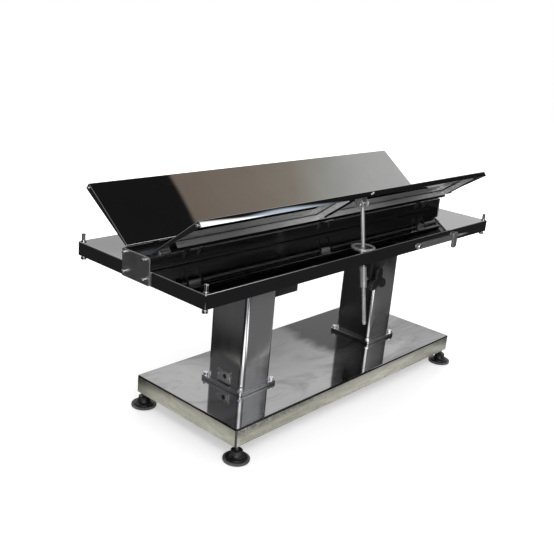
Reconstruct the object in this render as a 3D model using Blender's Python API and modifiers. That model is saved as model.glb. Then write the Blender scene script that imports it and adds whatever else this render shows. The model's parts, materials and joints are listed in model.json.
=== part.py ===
"""Operating table with a V top on two telescopic columns. Metres, +Z up, X along the table.

The floor is z = 0 and the middle of the deck tray is x = y = 0. The front is -Y. The rear wing and its
stay are the front ones turned half a turn about Z, as a maker would fit the same part twice.
"""

import math

import bmesh
import bpy
from mathutils import Matrix, Vector

# Gaps and fine values shared by all pieces
SEAT = 0.0003
BORE_PLAY = 0.0003
OVERRUN = 0.004
MERGE = 0.00005
SIDES_SMALL = 12
SIDES_ROUND = 16
SIDES_RING = 24
ARC_STEPS = 4
HALF_STEPS = 8
BEND_STEPS = 2
SHARP_ANGLE = math.radians(35)
QUARTER = math.pi / 2

# Deck tray
DECK_LENGTH = 1.300
DECK_WIDTH = 0.492
DECK_TOP = 0.5226
DECK_SHEET = 0.002
DECK_RIM = 0.037
DECK_ROUND = 0.003
ROD_HOLE_RADIUS = 0.026

# Base
BASE_LENGTH = 1.057
BASE_WIDTH = 0.412
BASE_TOP = 0.100
BASE_DEPTH = 0.052
BASE_SHIFT = 0.056
BASE_SHEET = 0.002
BASE_ROUND = 0.004
BASE_RAIL_WIDTH = 0.044
BASE_RAIL_HEIGHT = 0.038
BASE_RAIL_WALL = 0.003
BASE_RAIL_ROUND = 0.005
BASE_RAIL_CLEAR = 0.0006
BASE_CROSS_WIDTH = 0.140

# Levelling feet
FOOT_INSET_X = 0.0185
FOOT_INSET_Y = 0.012
FOOT_RADIUS = 0.037
FOOT_RIM = 0.008
FOOT_STEP = 0.0095
FOOT_SHOULDER = 0.028
FOOT_SHOULDER_HEIGHT = 0.012
FOOT_CROWN = 0.026
FOOT_TREAD = 0.003
FOOT_NECK = 0.013
FOOT_COLLAR = 0.006
FOOT_STEM_RADIUS = 0.006
FOOT_STEM_BELOW_TOP = 0.014

# Columns: two alike, and the left one has a short third stage that takes up the tilt
COLUMN_LEFT_X = -0.2626
COLUMN_RIGHT_X = 0.3457
COLUMN_X = 0.120
COLUMN_Y = 0.141
COLUMN_ROUND = 0.014
COLUMN_WALL = 0.004
STAGE_GAP = 0.002
STAGE_WALL = 0.0035
STAGE_BOTTOM = 0.015
STAGE_STEP = 0.012
COLLAR_HEIGHT = 0.010
COLLAR_CLEAR = 0.003
FLANGE_X = 0.150
FLANGE_Y = 0.165
FLANGE_THICK = 0.010
FLANGE_ROUND = 0.008
FLANGE_BOLT_INSET = 0.0105
BOLT_HEAD_RADIUS = 0.0085
BOLT_HEAD_HEIGHT = 0.008
BOLT_HEAD_SIDES = 6
HEAD_THICK = 0.008
EAR_THICK = 0.008
EAR_RADIUS = 0.014
EAR_Y = 0.030
LUG_THICK = 0.006
LUG_RADIUS = 0.012
LUG_FROM_EAR = 0.0045
PIN_RADIUS = 0.006
PIN_CAP_RADIUS = 0.0085
PIN_CAP_THICK = 0.003
PIN_STANDOFF = 0.0182
PIN_DROP = 0.0217
MOUNT_X = 0.100
MOUNT_THICK = 0.012
SLOT_TRAVEL = 0.0065
SLOT_PLAY = 0.0010

# Lifting actuators inside the columns
ACTUATOR_RADIUS = 0.022
ACTUATOR_BORE = 0.0115
ACTUATOR_ROD = 0.0105
ACTUATOR_FOOT = 0.030
ACTUATOR_FOOT_HEIGHT = 0.060
ACTUATOR_FLOOR = 0.012
ACTUATOR_BELOW_TOP = 0.012

# Control box on the left column and service plate on its outer face
BOX_X = 0.106
BOX_Y = 0.112
BOX_HEIGHT = 0.075
BOX_BELOW_TOP = 0.010
BOX_ROUND = 0.003
SERVICE_WIDTH = 0.050
SERVICE_HEIGHT = 0.038
SERVICE_THICK = 0.003
SERVICE_ROUND = 0.003
SERVICE_LIFT = 0.002

# Frame under the tray
RAIL_END_GAP = 0.065
RAIL_WIDTH = 0.030
RAIL_HEIGHT = 0.030
RAIL_WALL = 0.002
RAIL_ROUND = 0.003
RAIL_Y = 0.100
CROSS_END_GAP = 0.036
CROSS_WIDTH = 0.040
CROSS_HEIGHT = 0.020
CROSS_GAP = 0.003

# Centre channel between the wings, with its end plates
CHANNEL_WIDTH = 0.104
CHANNEL_HEIGHT = 0.033
CHANNEL_WALL = 0.0025
END_PLATE_OVER = 0.0005
END_PLATE_THICK = 0.004
END_PLATE_ROUND = 0.002
END_SCREW_RADIUS = 0.0042
END_SCREW_REACH = 0.011
END_SCREW_INSET_Y = 0.0145
END_SCREW_INSET_LOW = 0.016
END_SCREW_INSET_TOP = 0.006

# Tie posts at the deck corners
POST_RADIUS = 0.0048
POST_INSET = 0.0105
POST_ABOVE = 0.022
POST_HEAD_RADIUS = 0.0062
POST_HEAD_HEIGHT = 0.004
POST_RING_RADIUS = 0.0075
POST_RING_HEIGHT = 0.0025
POST_BELOW = 0.0485
POST_NUT_RADIUS = 0.0075
POST_NUT_HEIGHT = 0.007

# Wings and their hinges
WING_ANGLE = math.radians(36.7)
WING_END_GAP = 0.0015
WING_WIDTH = 0.182
WING_SHEET = 0.0015
WING_RIM = 0.0164
WING_END_RIM = 0.004
WING_LIP = 0.022
WING_FOLD = 0.0024
WING_RISE = 0.008
HINGE_OUT = 0.0648
HINGE_HEIGHT = 0.0463
HINGE_PIN_RADIUS = 0.0034
HINGE_PIN_END_GAP = 0.012
HINGE_PIN_CAP = 0.0055
HINGE_PIN_CAP_THICK = 0.003
BARREL_RADIUS = 0.0060
BARREL_LENGTH = 0.040
LUG_ARC_FROM = math.radians(-60)
LUG_ARC_TO = math.radians(140)
LUG_ARC_STEPS = 5
HINGE_FROM_END = 0.130
LUG_PLATE = 0.006
LUG_GAP = 0.0005
LEAF_THICK = 0.0042
LEAF_LENGTH = 0.037
LEAF_DROP = 0.0006
STUD_RADIUS = 0.004
STUD_REACH = 0.009

# Frame under each wing: a channel along the hinge and two ribs out to the edge
STIFF_WIDTH = 0.030
STIFF_DEPTH = 0.016
STIFF_WALL = 0.002
STIFF_FROM_HINGE = 0.037
STIFF_END_GAP = 0.0285
RIB_NEAR_X = -0.090
RIB_FROM_END = 0.0635
RIB_END_GAP = 0.006
RIB_STEP = 0.0004

# Stay rod, its eye under the wing and the clamp under the deck
BALL_OUT = 0.146
BALL_BELOW = 0.014
BALL_RADIUS = 0.0090
ROD_X = -0.014
ROD_RADIUS = 0.0055
ROD_LENGTH = 0.350
ROD_TIP = 0.002
ROD_LEAN = math.radians(9.3)
EYE_PIN_RADIUS = 0.0032
CHEEK_RADIUS = 0.013
CHEEK_THICK = 0.003
CHEEK_GAP = 0.0015
EYE_PIN_CAP = 0.005
EYE_PIN_CAP_THICK = 0.002
RING_RADIUS = 0.0350
RING_HEIGHT = 0.003
SLEEVE_RADIUS = 0.0095
SLEEVE_LENGTH = 0.062
SLEEVE_ABOVE = 0.040
TRUNNION_RADIUS = 0.005
TRUNNION_DROP = 0.0926
TRUNNION_SHORT = 0.004
BRACKET_FROM_ROD = 0.014
BRACKET_WIDTH = 0.064
BRACKET_NECK_WIDTH = 0.046
BRACKET_THICK = 0.030
BRACKET_BELOW_PIN = 0.024
BRACKET_SHOULDER_ABOVE_PIN = 0.025
BRACKET_SHOULDER_SLOPE = 0.0153
BRACKET_ROUND = 0.0025
SLOT_HALF_OUT = 0.0104
SLOT_HALF_UP = 0.0070

# Clamp knob
KNOB_FROM_BRACKET_EDGE = 0.021
KNOB_RADIUS = 0.029
KNOB_LOBE = 0.012
KNOB_LOBES = 3
KNOB_POINTS = 24
KNOB_THICK = 0.011
KNOB_EDGE = 0.002
KNOB_HUB_RADIUS = 0.011
KNOB_HUB_LENGTH = 0.005
KNOB_SCREW_RADIUS = 0.0040
KNOB_SCREW_PLAY = 0.0006
KNOB_SCREW_LENGTH = 0.0042

# Side lever on the front rim
LEVER_FROM_END = 0.425
LEVER_LENGTH = 0.208
LEVER_Z_BELOW_TOP = 0.026
LEVER_THICK = 0.0045
LEVER_HALF_HEIGHT = 0.009
LEVER_BOSS = 0.015
GRIP_HALF_WIDTH = 0.0125
GRIP_HALF_HEIGHT = 0.026
GRIP_THICK = 0.008
GRIP_ROUND = 0.0015
LEVER_SCREW_RADIUS = 0.0035
LEVER_SCREW_REACH = 0.009

# Lengths worked out from the sizes above
FOOT_SPACING_X = BASE_LENGTH - 2 * FOOT_INSET_X
FOOT_SPACING_Y = BASE_WIDTH - 2 * FOOT_INSET_Y
FOOT_STEM_TOP = BASE_TOP - FOOT_STEM_BELOW_TOP
LUG_Y = EAR_Y - (EAR_THICK + LUG_THICK) / 2 - LUG_FROM_EAR
RAIL_LENGTH = DECK_LENGTH - 2 * RAIL_END_GAP
CROSS_LENGTH = DECK_WIDTH - 2 * CROSS_END_GAP
END_PLATE_WIDTH = CHANNEL_WIDTH + 2 * END_PLATE_OVER
END_PLATE_TOP = CHANNEL_HEIGHT + END_PLATE_OVER
END_PLATE_DROP = DECK_RIM + END_PLATE_OVER
WING_LENGTH = DECK_LENGTH - 2 * WING_END_GAP
HINGE_PIN_LENGTH = DECK_LENGTH - 2 * HINGE_PIN_END_GAP
HINGE_SPACING = DECK_LENGTH / 2 - HINGE_FROM_END
STIFF_LENGTH = WING_LENGTH - 2 * STIFF_END_GAP
RIB_FAR_X = WING_LENGTH / 2 - RIB_FROM_END

# Heights and places worked out from the sizes above
DECK_UNDER = DECK_TOP - DECK_SHEET
MOUNT_TOP = DECK_UNDER - SEAT
MOUNT_BOTTOM = MOUNT_TOP - MOUNT_THICK
PIN_Z = MOUNT_BOTTOM - PIN_DROP
HEAD_TOP = PIN_Z - PIN_STANDOFF
HEAD_BOTTOM = HEAD_TOP - HEAD_THICK
STAGE_TOP = HEAD_BOTTOM - SEAT
COLLAR_TOP = HEAD_BOTTOM - COLLAR_CLEAR
OUTER_TOP = COLLAR_TOP - COLLAR_HEIGHT - SEAT
FLANGE_BOTTOM = BASE_TOP + SEAT
FLANGE_TOP = FLANGE_BOTTOM + FLANGE_THICK
COLUMN_BOTTOM = FLANGE_TOP + SEAT
CHANNEL_BOTTOM = DECK_TOP + SEAT
HINGE_Z = DECK_TOP + HINGE_HEIGHT
BALL_Y = HINGE_OUT + BALL_OUT * math.cos(WING_ANGLE) + BALL_BELOW * math.sin(WING_ANGLE)
BALL_Z = HINGE_Z + BALL_OUT * math.sin(WING_ANGLE) - BALL_BELOW * math.cos(WING_ANGLE)
RING_OUT = BALL_Y + (BALL_Z - DECK_TOP) * math.tan(ROD_LEAN)
TRUNNION_HEIGHT = DECK_TOP - TRUNNION_DROP
TRUNNION_OUT = BALL_Y + (BALL_Z - TRUNNION_HEIGHT) * math.tan(ROD_LEAN)
TRUNNION_DOWN = (BALL_Z - TRUNNION_HEIGHT) / math.cos(ROD_LEAN)
BRACKET_X0 = ROD_X + BRACKET_FROM_ROD
BRACKET_X1 = BRACKET_X0 + BRACKET_WIDTH
BRACKET_NECK_X1 = BRACKET_X0 + BRACKET_NECK_WIDTH
BRACKET_FRONT = TRUNNION_OUT + BRACKET_THICK / 2
BRACKET_BOTTOM = TRUNNION_HEIGHT - BRACKET_BELOW_PIN
BRACKET_SHOULDER = TRUNNION_HEIGHT + BRACKET_SHOULDER_ABOVE_PIN
TRUNNION_END_X = BRACKET_NECK_X1 - TRUNNION_SHORT
KNOB_X = BRACKET_X0 + KNOB_FROM_BRACKET_EDGE
DECK_HALF_WIDTH = DECK_WIDTH / 2
LEVER_PIVOT_X = DECK_LENGTH / 2 - LEVER_FROM_END
LEVER_Z = DECK_TOP - LEVER_Z_BELOW_TOP

TURNS = {"front": Matrix.Identity(4), "rear": Matrix.Rotation(math.pi, 4, "Z")}
SIGNS = {"front": 1, "rear": -1}
PART = "operating_table"
CUTTERS = "operating_table_cutters"
bodies = {}


def clear_scene():
    """Removes every object, then makes one collection for the table and one for its cutters."""
    for obj in list(bpy.data.objects):
        bpy.data.objects.remove(obj)
    for name in (PART, CUTTERS):
        bpy.context.scene.collection.children.link(bpy.data.collections.new(name))


def metal(name, colour, roughness, metallic=1.0):
    """A plain Principled material."""
    made = bpy.data.materials.new(name)
    made.use_nodes = True
    shader = made.node_tree.nodes["Principled BSDF"]
    shader.inputs["Base Color"].default_value = (*colour, 1)
    shader.inputs["Roughness"].default_value = roughness
    shader.inputs["Metallic"].default_value = metallic
    return made


def body(name, joint_at, parent=None):
    """An empty on the joint's axis, which carries the pieces that move together."""
    empty = bpy.data.objects.new("body_" + name, None)
    bpy.data.collections[PART].objects.link(empty)
    bodies[name] = (empty, Matrix.Translation(joint_at))
    if parent:
        empty.parent = bodies[parent][0]
        empty.matrix_parent_inverse = bodies[parent][1].inverted()
    empty.matrix_basis = bodies[name][1]


def add(name, mesh, owner, look, place=Matrix.Identity(4), smooth=False):
    """Links a mesh as one named piece, at a place in the world, under its body's empty."""
    obj = bpy.data.objects.new(name, mesh)
    bpy.data.collections[PART].objects.link(obj)
    mesh.materials.append(look)
    if smooth:
        mesh.shade_smooth()
        mesh.set_sharp_from_angle(angle=SHARP_ANGLE)
    empty, at = bodies[owner]
    obj.parent = empty
    obj.matrix_parent_inverse = at.inverted()
    obj.matrix_basis = place
    return obj


def helper(obj):
    """Moves an object to the cutters' collection, out of the render."""
    bpy.data.collections[PART].objects.unlink(obj)
    bpy.data.collections[CUTTERS].objects.link(obj)
    obj.hide_render = True
    obj.display_type = "WIRE"


def combine(target, others, operation):
    """Adds one exact Boolean for each of the other objects, which become helpers."""
    for other in others:
        helper(other)
        modifier = target.modifiers.new(operation.title(), "BOOLEAN")
        modifier.operation = operation
        modifier.object = other
    return target


def fuse(target, *others):
    return combine(target, others, "UNION")


def cut(target, *others):
    return combine(target, others, "DIFFERENCE")


def moved(x, y, z):
    return Matrix.Translation((x, y, z))


def turned(axis, angle):
    return Matrix.Rotation(angle, 4, axis)


ALONG_X = turned("Y", QUARTER)
ALONG_Y = turned("X", -QUARTER)
ALONG_FRONT = turned("X", QUARTER)


def arc(centre, radius, first, last, steps):
    """Points along an arc from one angle to another, both ends included."""
    turns = [first + (last - first) * step / steps for step in range(steps + 1)]
    return [(centre[0] + radius * math.cos(a), centre[1] + radius * math.sin(a)) for a in turns]


def circle(radius, sides=SIDES_ROUND, at=(0.0, 0.0)):
    """Points of a circle, anticlockwise."""
    return arc(at, radius, 0, 4 * QUARTER, sides)[:-1]


def rounded(width, depth, radius, inset=0.0, steps=ARC_STEPS):
    """Outline of a rectangle with round corners, anticlockwise, drawn in by an inset."""
    half_w, half_d = width / 2 - radius, depth / 2 - radius
    points = []
    for corner, (sx, sy) in enumerate(((1, 1), (-1, 1), (-1, -1), (1, -1))):
        first = corner * QUARTER
        points += arc((sx * half_w, sy * half_d), radius - inset, first, first + QUARTER, steps)
    return points


def capsule(radius, start, end):
    """Outline of a slot: half circles about two points, joined by straight sides."""
    heading = math.atan2(end[1] - start[1], end[0] - start[0])
    left = heading + QUARTER
    far = arc(end, radius, left - math.pi, left, HALF_STEPS)
    return far + arc(start, radius, left, left + math.pi, HALF_STEPS)


def finished(bm):
    mesh = bpy.data.meshes.new("shape")
    bm.to_mesh(mesh)
    bm.free()
    return mesh


def box_mesh(size):
    """A box about its own centre."""
    bm = bmesh.new()
    bmesh.ops.create_cube(bm, size=1)
    bmesh.ops.scale(bm, vec=size, verts=bm.verts)
    return finished(bm)


def prism_mesh(outlines, thickness, edge=0.0):
    """A flat plate in XY about z = 0, from an outline and any holes, with rounded rims if asked."""
    curve = bpy.data.curves.new("outline", "CURVE")
    curve.dimensions = "2D"
    curve.fill_mode = "BOTH"
    curve.extrude = thickness / 2 - edge
    curve.bevel_depth = edge
    curve.bevel_resolution = 0 if edge == 0 else 1
    curve.offset = -edge
    for outline in outlines:
        spline = curve.splines.new("POLY")
        spline.points.add(len(outline) - 1)
        for point, (x, y) in zip(spline.points, outline):
            point.co = (x, y, 0, 1)
        spline.use_cyclic_u = True
    flat = bpy.data.objects.new("outline", curve)
    bpy.context.scene.collection.objects.link(flat)
    graph = bpy.context.evaluated_depsgraph_get()
    mesh = bpy.data.meshes.new_from_object(flat.evaluated_get(graph))
    bpy.data.objects.remove(flat)
    bm = bmesh.new()
    bm.from_mesh(mesh)
    bmesh.ops.remove_doubles(bm, verts=bm.verts, dist=MERGE)
    bmesh.ops.recalc_face_normals(bm, faces=bm.faces)
    bpy.data.meshes.remove(mesh)
    return finished(bm)


def lathe(name, profile, owner, look, place, sides=SIDES_ROUND):
    """Turns a profile of (radius, height) points, given down its outer side, about its own Z."""
    line = bpy.data.meshes.new("profile")
    edges = [(i, i + 1) for i in range(len(profile) - 1)]
    line.from_pydata([(radius, 0, height) for radius, height in profile], edges, [])
    obj = add(name, line, owner, look, place)
    screw = obj.modifiers.new("Turn", "SCREW")
    screw.steps = sides
    screw.render_steps = sides
    screw.use_merge_vertices = True
    screw.merge_threshold = MERGE
    screw.use_smooth_shade = True
    return obj


def capped_pin(radius, half, cap_radius, cap_thick):
    """Profile of a pin with a flat cap at each end, out to half its length from the middle."""
    upper = [(0, half), (cap_radius, half), (cap_radius, half - cap_thick), (radius, half - cap_thick)]
    return upper + [(r, -z) for r, z in reversed(upper)]


def rod_mesh(radius, length, sides=SIDES_SMALL):
    """A round bar along Z about its middle."""
    bm = bmesh.new()
    bmesh.ops.create_cone(
        bm, cap_ends=True, segments=sides, radius1=radius, radius2=radius, depth=length
    )
    return finished(bm)


def tube_mesh(width, depth, wall, radius, length):
    """A rectangular tube along Z about its middle, with round corners."""
    return prism_mesh(
        [rounded(width, depth, radius), rounded(width, depth, radius, wall)], length
    )


def open_box(length, width, depth, open_sides):
    """A box's faces hung below z = 0, without the faces that look along the open sides."""
    bm = bmesh.new()
    bmesh.ops.create_cube(bm, size=1)
    bmesh.ops.scale(bm, vec=(length, width, depth), verts=bm.verts)
    bmesh.ops.translate(bm, vec=(0, 0, -depth / 2), verts=bm.verts)
    gone = [face for face in bm.faces if any(face.normal.dot(Vector(way)) > 0 for way in open_sides)]
    bmesh.ops.delete(bm, geom=gone, context="FACES")
    return bm


def rounded_edges(obj, radius):
    """Rounds the folds or the edges of a box."""
    bevel = obj.modifiers.new("Round", "BEVEL")
    bevel.width = radius
    bevel.segments = BEND_STEPS
    bevel.limit_method = "ANGLE"
    return obj


def folded(obj, thickness, radius):
    """Rounds a surface's folds and gives it the sheet's thickness, inwards."""
    sheet = rounded_edges(obj, radius).modifiers.new("Sheet", "SOLIDIFY")
    sheet.thickness = thickness
    sheet.offset = -1
    sheet.use_even_offset = True
    return obj


# Base

def make_base(look):
    """The base: a folded cover on two rails, with a cross tube under each column."""
    at = moved(BASE_SHIFT, 0, BASE_TOP)
    cover = finished(open_box(BASE_LENGTH, BASE_WIDTH, BASE_DEPTH, [(0, 0, -1)]))
    folded(add("base_cover", cover, "base", look["steel"], at), BASE_SHEET, BASE_ROUND)
    rail_z = BASE_TOP - BASE_SHEET - SEAT - BASE_RAIL_HEIGHT / 2
    rail_y = BASE_WIDTH / 2 - BASE_SHEET - BASE_RAIL_CLEAR - BASE_RAIL_WIDTH / 2
    rail_length = BASE_LENGTH - 2 * (BASE_SHEET + BASE_ROUND)
    for side, sign in (("front", -1), ("rear", 1)):
        mesh = tube_mesh(BASE_RAIL_HEIGHT, BASE_RAIL_WIDTH, BASE_RAIL_WALL, BASE_RAIL_ROUND, rail_length)
        place = moved(BASE_SHIFT, sign * rail_y, rail_z) @ ALONG_X
        rail = add("base_rail_" + side, mesh, "base", look["frame"], place)
        for end in (-1, 1):
            hole = rod_mesh(FOOT_STEM_RADIUS + BORE_PLAY, BASE_RAIL_HEIGHT, SIDES_ROUND)
            x = BASE_SHIFT + end * FOOT_SPACING_X / 2
            place = moved(x, sign * FOOT_SPACING_Y / 2, rail_z - BASE_RAIL_HEIGHT / 2)
            cut(rail, add("stem_hole", hole, "base", look["frame"], place))
    cross_length = 2 * (rail_y - BASE_RAIL_WIDTH / 2 - SEAT)
    for side, x in (("left", COLUMN_LEFT_X), ("right", COLUMN_RIGHT_X)):
        mesh = tube_mesh(BASE_CROSS_WIDTH, BASE_RAIL_HEIGHT, BASE_RAIL_WALL, BASE_RAIL_ROUND, cross_length)
        add("base_cross_" + side, mesh, "base", look["frame"], moved(x, 0, rail_z) @ ALONG_Y)


def make_feet(look):
    """Four levelling feet: a domed pad with a step round it, moulded on a threaded stem."""
    out, up = FOOT_SHOULDER - FOOT_NECK, FOOT_CROWN - FOOT_SHOULDER_HEIGHT
    dome = [
        (FOOT_NECK + out * x, FOOT_SHOULDER_HEIGHT + up * y)
        for x, y in arc((0, 0), 1, QUARTER, 0, ARC_STEPS)
    ]
    profile = [(0, FOOT_STEM_TOP), (FOOT_STEM_RADIUS, FOOT_STEM_TOP)]
    profile += [(FOOT_STEM_RADIUS, FOOT_CROWN + FOOT_COLLAR), (FOOT_NECK, FOOT_CROWN + FOOT_COLLAR)]
    profile += dome + [(FOOT_SHOULDER, FOOT_STEP), (FOOT_RADIUS, FOOT_RIM)]
    profile += [(FOOT_RADIUS, FOOT_TREAD), (FOOT_RADIUS - FOOT_TREAD, 0), (0, 0)]
    for end, sx in (("left", -1), ("right", 1)):
        for side, sy in (("front", -1), ("rear", 1)):
            name = "foot_%s_%s" % (side, end)
            x, y = BASE_SHIFT + sx * FOOT_SPACING_X / 2, sy * FOOT_SPACING_Y / 2
            body(name, (x, y, 0), "base")
            lathe(name, profile, name, look["black"], moved(x, y, 0))


# Columns

def stage_size(stage):
    """Outer size of a column's tube: 0 is the fixed one, 1 and 2 slide inside it."""
    step = 0 if stage == 0 else COLUMN_WALL + STAGE_GAP
    if stage == 2:
        step += STAGE_WALL + STAGE_GAP
    return COLUMN_X - 2 * step, COLUMN_Y - 2 * step, COLUMN_ROUND - step * 3 / 4


def make_column(side, x, lift_owner, head_owner, look):
    """One telescopic column on its foot flange, with the actuator that drives it."""
    flange = prism_mesh([rounded(FLANGE_X, FLANGE_Y, FLANGE_ROUND)], FLANGE_THICK)
    place = moved(x, 0, FLANGE_BOTTOM + FLANGE_THICK / 2)
    flange = add("%s_foot_flange" % side, flange, "base", look["steel"], place)
    for sx in (-1, 1):
        for sy in (-1, 1):
            bolt = rod_mesh(BOLT_HEAD_RADIUS, BOLT_HEAD_HEIGHT + FLANGE_THICK / 2, BOLT_HEAD_SIDES)
            bx, by = sx * (FLANGE_X / 2 - FLANGE_BOLT_INSET), sy * (FLANGE_Y / 2 - FLANGE_BOLT_INSET)
            bz = FLANGE_TOP + BOLT_HEAD_HEIGHT / 2 - FLANGE_THICK / 4
            fuse(flange, add("bolt", bolt, "base", look["steel"], moved(x + bx, by, bz)))
    size = stage_size(0)
    outer = tube_mesh(size[0], size[1], COLUMN_WALL, size[2], OUTER_TOP - COLUMN_BOTTOM)
    middle = (OUTER_TOP + COLUMN_BOTTOM) / 2
    add("%s_column_tube" % side, outer, "base", look["column"], moved(x, 0, middle), True)
    inner = stage_size(1)
    hole = rounded(inner[0] + 2 * SEAT, inner[1] + 2 * SEAT, inner[2] + SEAT)
    collar = prism_mesh([rounded(size[0], size[1], size[2]), hole], COLLAR_HEIGHT)
    place = moved(x, 0, COLLAR_TOP - COLLAR_HEIGHT / 2)
    add("%s_column_collar" % side, collar, "base", look["black"], place, True)
    low = COLUMN_BOTTOM + STAGE_BOTTOM
    stage = tube_mesh(inner[0], inner[1], STAGE_WALL, inner[2], STAGE_TOP - low)
    add("%s_lift_tube" % side, stage, lift_owner, look["steel"], moved(x, 0, (STAGE_TOP + low) / 2), True)
    make_head(side, x, head_owner, look)
    make_actuator(side, x, head_owner, look)


def make_head(side, x, owner, look):
    """The top plate of a column with two ears, and the pin that goes through them."""
    plate = prism_mesh([rounded(COLUMN_X, COLUMN_Y, COLUMN_ROUND)], HEAD_THICK)
    head = add("%s_column_head" % side, plate, owner, look["steel"], moved(x, 0, HEAD_TOP - HEAD_THICK / 2))
    drop = PIN_STANDOFF + HEAD_THICK / 2
    ear = [(-EAR_RADIUS, -drop), (EAR_RADIUS, -drop)]
    ear += arc((0, 0), EAR_RADIUS, 0, math.pi, HALF_STEPS)
    for sign in (-1, 1):
        mesh = prism_mesh([ear, circle(PIN_RADIUS + BORE_PLAY)], EAR_THICK)
        fuse(head, add("ear", mesh, owner, look["steel"], moved(x, sign * EAR_Y, PIN_Z) @ ALONG_FRONT))
    half = EAR_Y + EAR_THICK / 2 + SEAT + PIN_CAP_THICK
    profile = capped_pin(PIN_RADIUS, half, PIN_CAP_RADIUS, PIN_CAP_THICK)
    name = {"right": "tilt_pin", "left": "slide_pin"}[side]
    lathe(name, profile, owner, look["chrome"], moved(x, 0, PIN_Z) @ ALONG_Y)


def make_actuator(side, x, owner, look):
    """A lifting actuator: a bored housing on the foot flange and the rod that it pushes."""
    bottom = COLUMN_BOTTOM
    top = OUTER_TOP - ACTUATOR_BELOW_TOP
    shoulder = bottom + ACTUATOR_FOOT_HEIGHT
    floor = bottom + ACTUATOR_FLOOR
    profile = [(0, floor), (ACTUATOR_BORE, floor), (ACTUATOR_BORE, top), (ACTUATOR_RADIUS, top)]
    profile += [(ACTUATOR_RADIUS, shoulder), (ACTUATOR_FOOT, shoulder), (ACTUATOR_FOOT, bottom), (0, bottom)]
    lathe("%s_actuator" % side, profile, "base", look["black"], moved(x, 0, 0))
    low = floor + SEAT
    rod = rod_mesh(ACTUATOR_ROD, STAGE_TOP - low, SIDES_SMALL)
    add("%s_actuator_rod" % side, rod, owner, look["chrome"], moved(x, 0, (STAGE_TOP + low) / 2), True)


def make_left_stage(look):
    """The third stage of the left column, which rises as the deck tilts."""
    size = stage_size(2)
    low = COLUMN_BOTTOM + STAGE_BOTTOM + STAGE_STEP
    mesh = tube_mesh(size[0], size[1], STAGE_WALL, size[2], STAGE_TOP - low)
    place = moved(COLUMN_LEFT_X, 0, (STAGE_TOP + low) / 2)
    add("left_tilt_tube", mesh, "left_head", look["steel"], place, True)


def make_column_boxes(look):
    """The control box on the left column's inner face and the small plate on its outer face."""
    x = COLUMN_LEFT_X + COLUMN_X / 2 + SEAT + BOX_X / 2
    z = OUTER_TOP - BOX_BELOW_TOP - BOX_HEIGHT / 2
    box = add("control_box", box_mesh((BOX_X, BOX_Y, BOX_HEIGHT)), "base", look["steel"], moved(x, 0, z))
    rounded_edges(box, BOX_ROUND)
    plate = prism_mesh([rounded(SERVICE_HEIGHT, SERVICE_WIDTH, SERVICE_ROUND)], SERVICE_THICK)
    x = COLUMN_LEFT_X - COLUMN_X / 2 - SEAT - SERVICE_THICK / 2
    z = COLUMN_BOTTOM + SERVICE_LIFT + SERVICE_HEIGHT / 2
    add("service_plate", plate, "base", look["steel"], moved(x, 0, z) @ ALONG_X)


# Deck

def make_deck(look):
    """The tray, with the holes for the stay rods, the corner posts and the lever's screw."""
    tray = finished(open_box(DECK_LENGTH, DECK_WIDTH, DECK_RIM, [(0, 0, -1)]))
    tray = add("deck_tray", tray, "deck", look["polished"], moved(0, 0, DECK_TOP))
    folded(tray, DECK_SHEET, DECK_ROUND)
    depth = DECK_SHEET + 2 * OVERRUN
    for side, sign in SIGNS.items():
        hole = rod_mesh(ROD_HOLE_RADIUS, depth, SIDES_RING)
        place = TURNS[side] @ moved(ROD_X, -RING_OUT, DECK_UNDER)
        cut(tray, add("rod_hole", hole, "deck", look["polished"], place))
        outlines = [circle(RING_RADIUS, SIDES_RING), circle(ROD_HOLE_RADIUS, SIDES_RING)]
        ring = prism_mesh(outlines, RING_HEIGHT)
        place = TURNS[side] @ moved(ROD_X, -RING_OUT, DECK_TOP + SEAT + RING_HEIGHT / 2)
        add("%s_rod_ring" % side, ring, "deck", look["chrome"], place)
        for end, name in ((-1, "left"), (1, "right")):
            x, y = end * (DECK_LENGTH / 2 - POST_INSET), -sign * (DECK_HALF_WIDTH - POST_INSET)
            hole = rod_mesh(POST_RADIUS + BORE_PLAY, depth, SIDES_SMALL)
            cut(tray, add("post_hole", hole, "deck", look["polished"], moved(x, y, DECK_UNDER)))
            make_post("%s_%s_post" % (side, name), x, y, look)
    screw = rod_mesh(LEVER_SCREW_RADIUS + BORE_PLAY, depth, SIDES_SMALL)
    place = moved(LEVER_PIVOT_X, -DECK_HALF_WIDTH, LEVER_Z) @ ALONG_Y
    cut(tray, add("lever_hole", screw, "deck", look["polished"], place))


def make_post(name, x, y, look):
    """A tie post: a headed pin through the tray with a ring above it and a nut at its foot."""
    top, ring = DECK_TOP + POST_ABOVE, DECK_TOP + SEAT + POST_RING_HEIGHT
    nut = DECK_TOP - POST_BELOW + POST_NUT_HEIGHT
    profile = [
        (0, top), (POST_HEAD_RADIUS, top), (POST_HEAD_RADIUS, top - POST_HEAD_HEIGHT),
        (POST_RADIUS, top - POST_HEAD_HEIGHT), (POST_RADIUS, ring), (POST_RING_RADIUS, ring),
        (POST_RING_RADIUS, DECK_TOP + SEAT), (POST_RADIUS, DECK_TOP + SEAT), (POST_RADIUS, nut),
        (POST_NUT_RADIUS, nut), (POST_NUT_RADIUS, nut - POST_NUT_HEIGHT), (0, nut - POST_NUT_HEIGHT),
    ]
    lathe(name, profile, "deck", look["chrome"], moved(x, y, 0), SIDES_SMALL)


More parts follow.
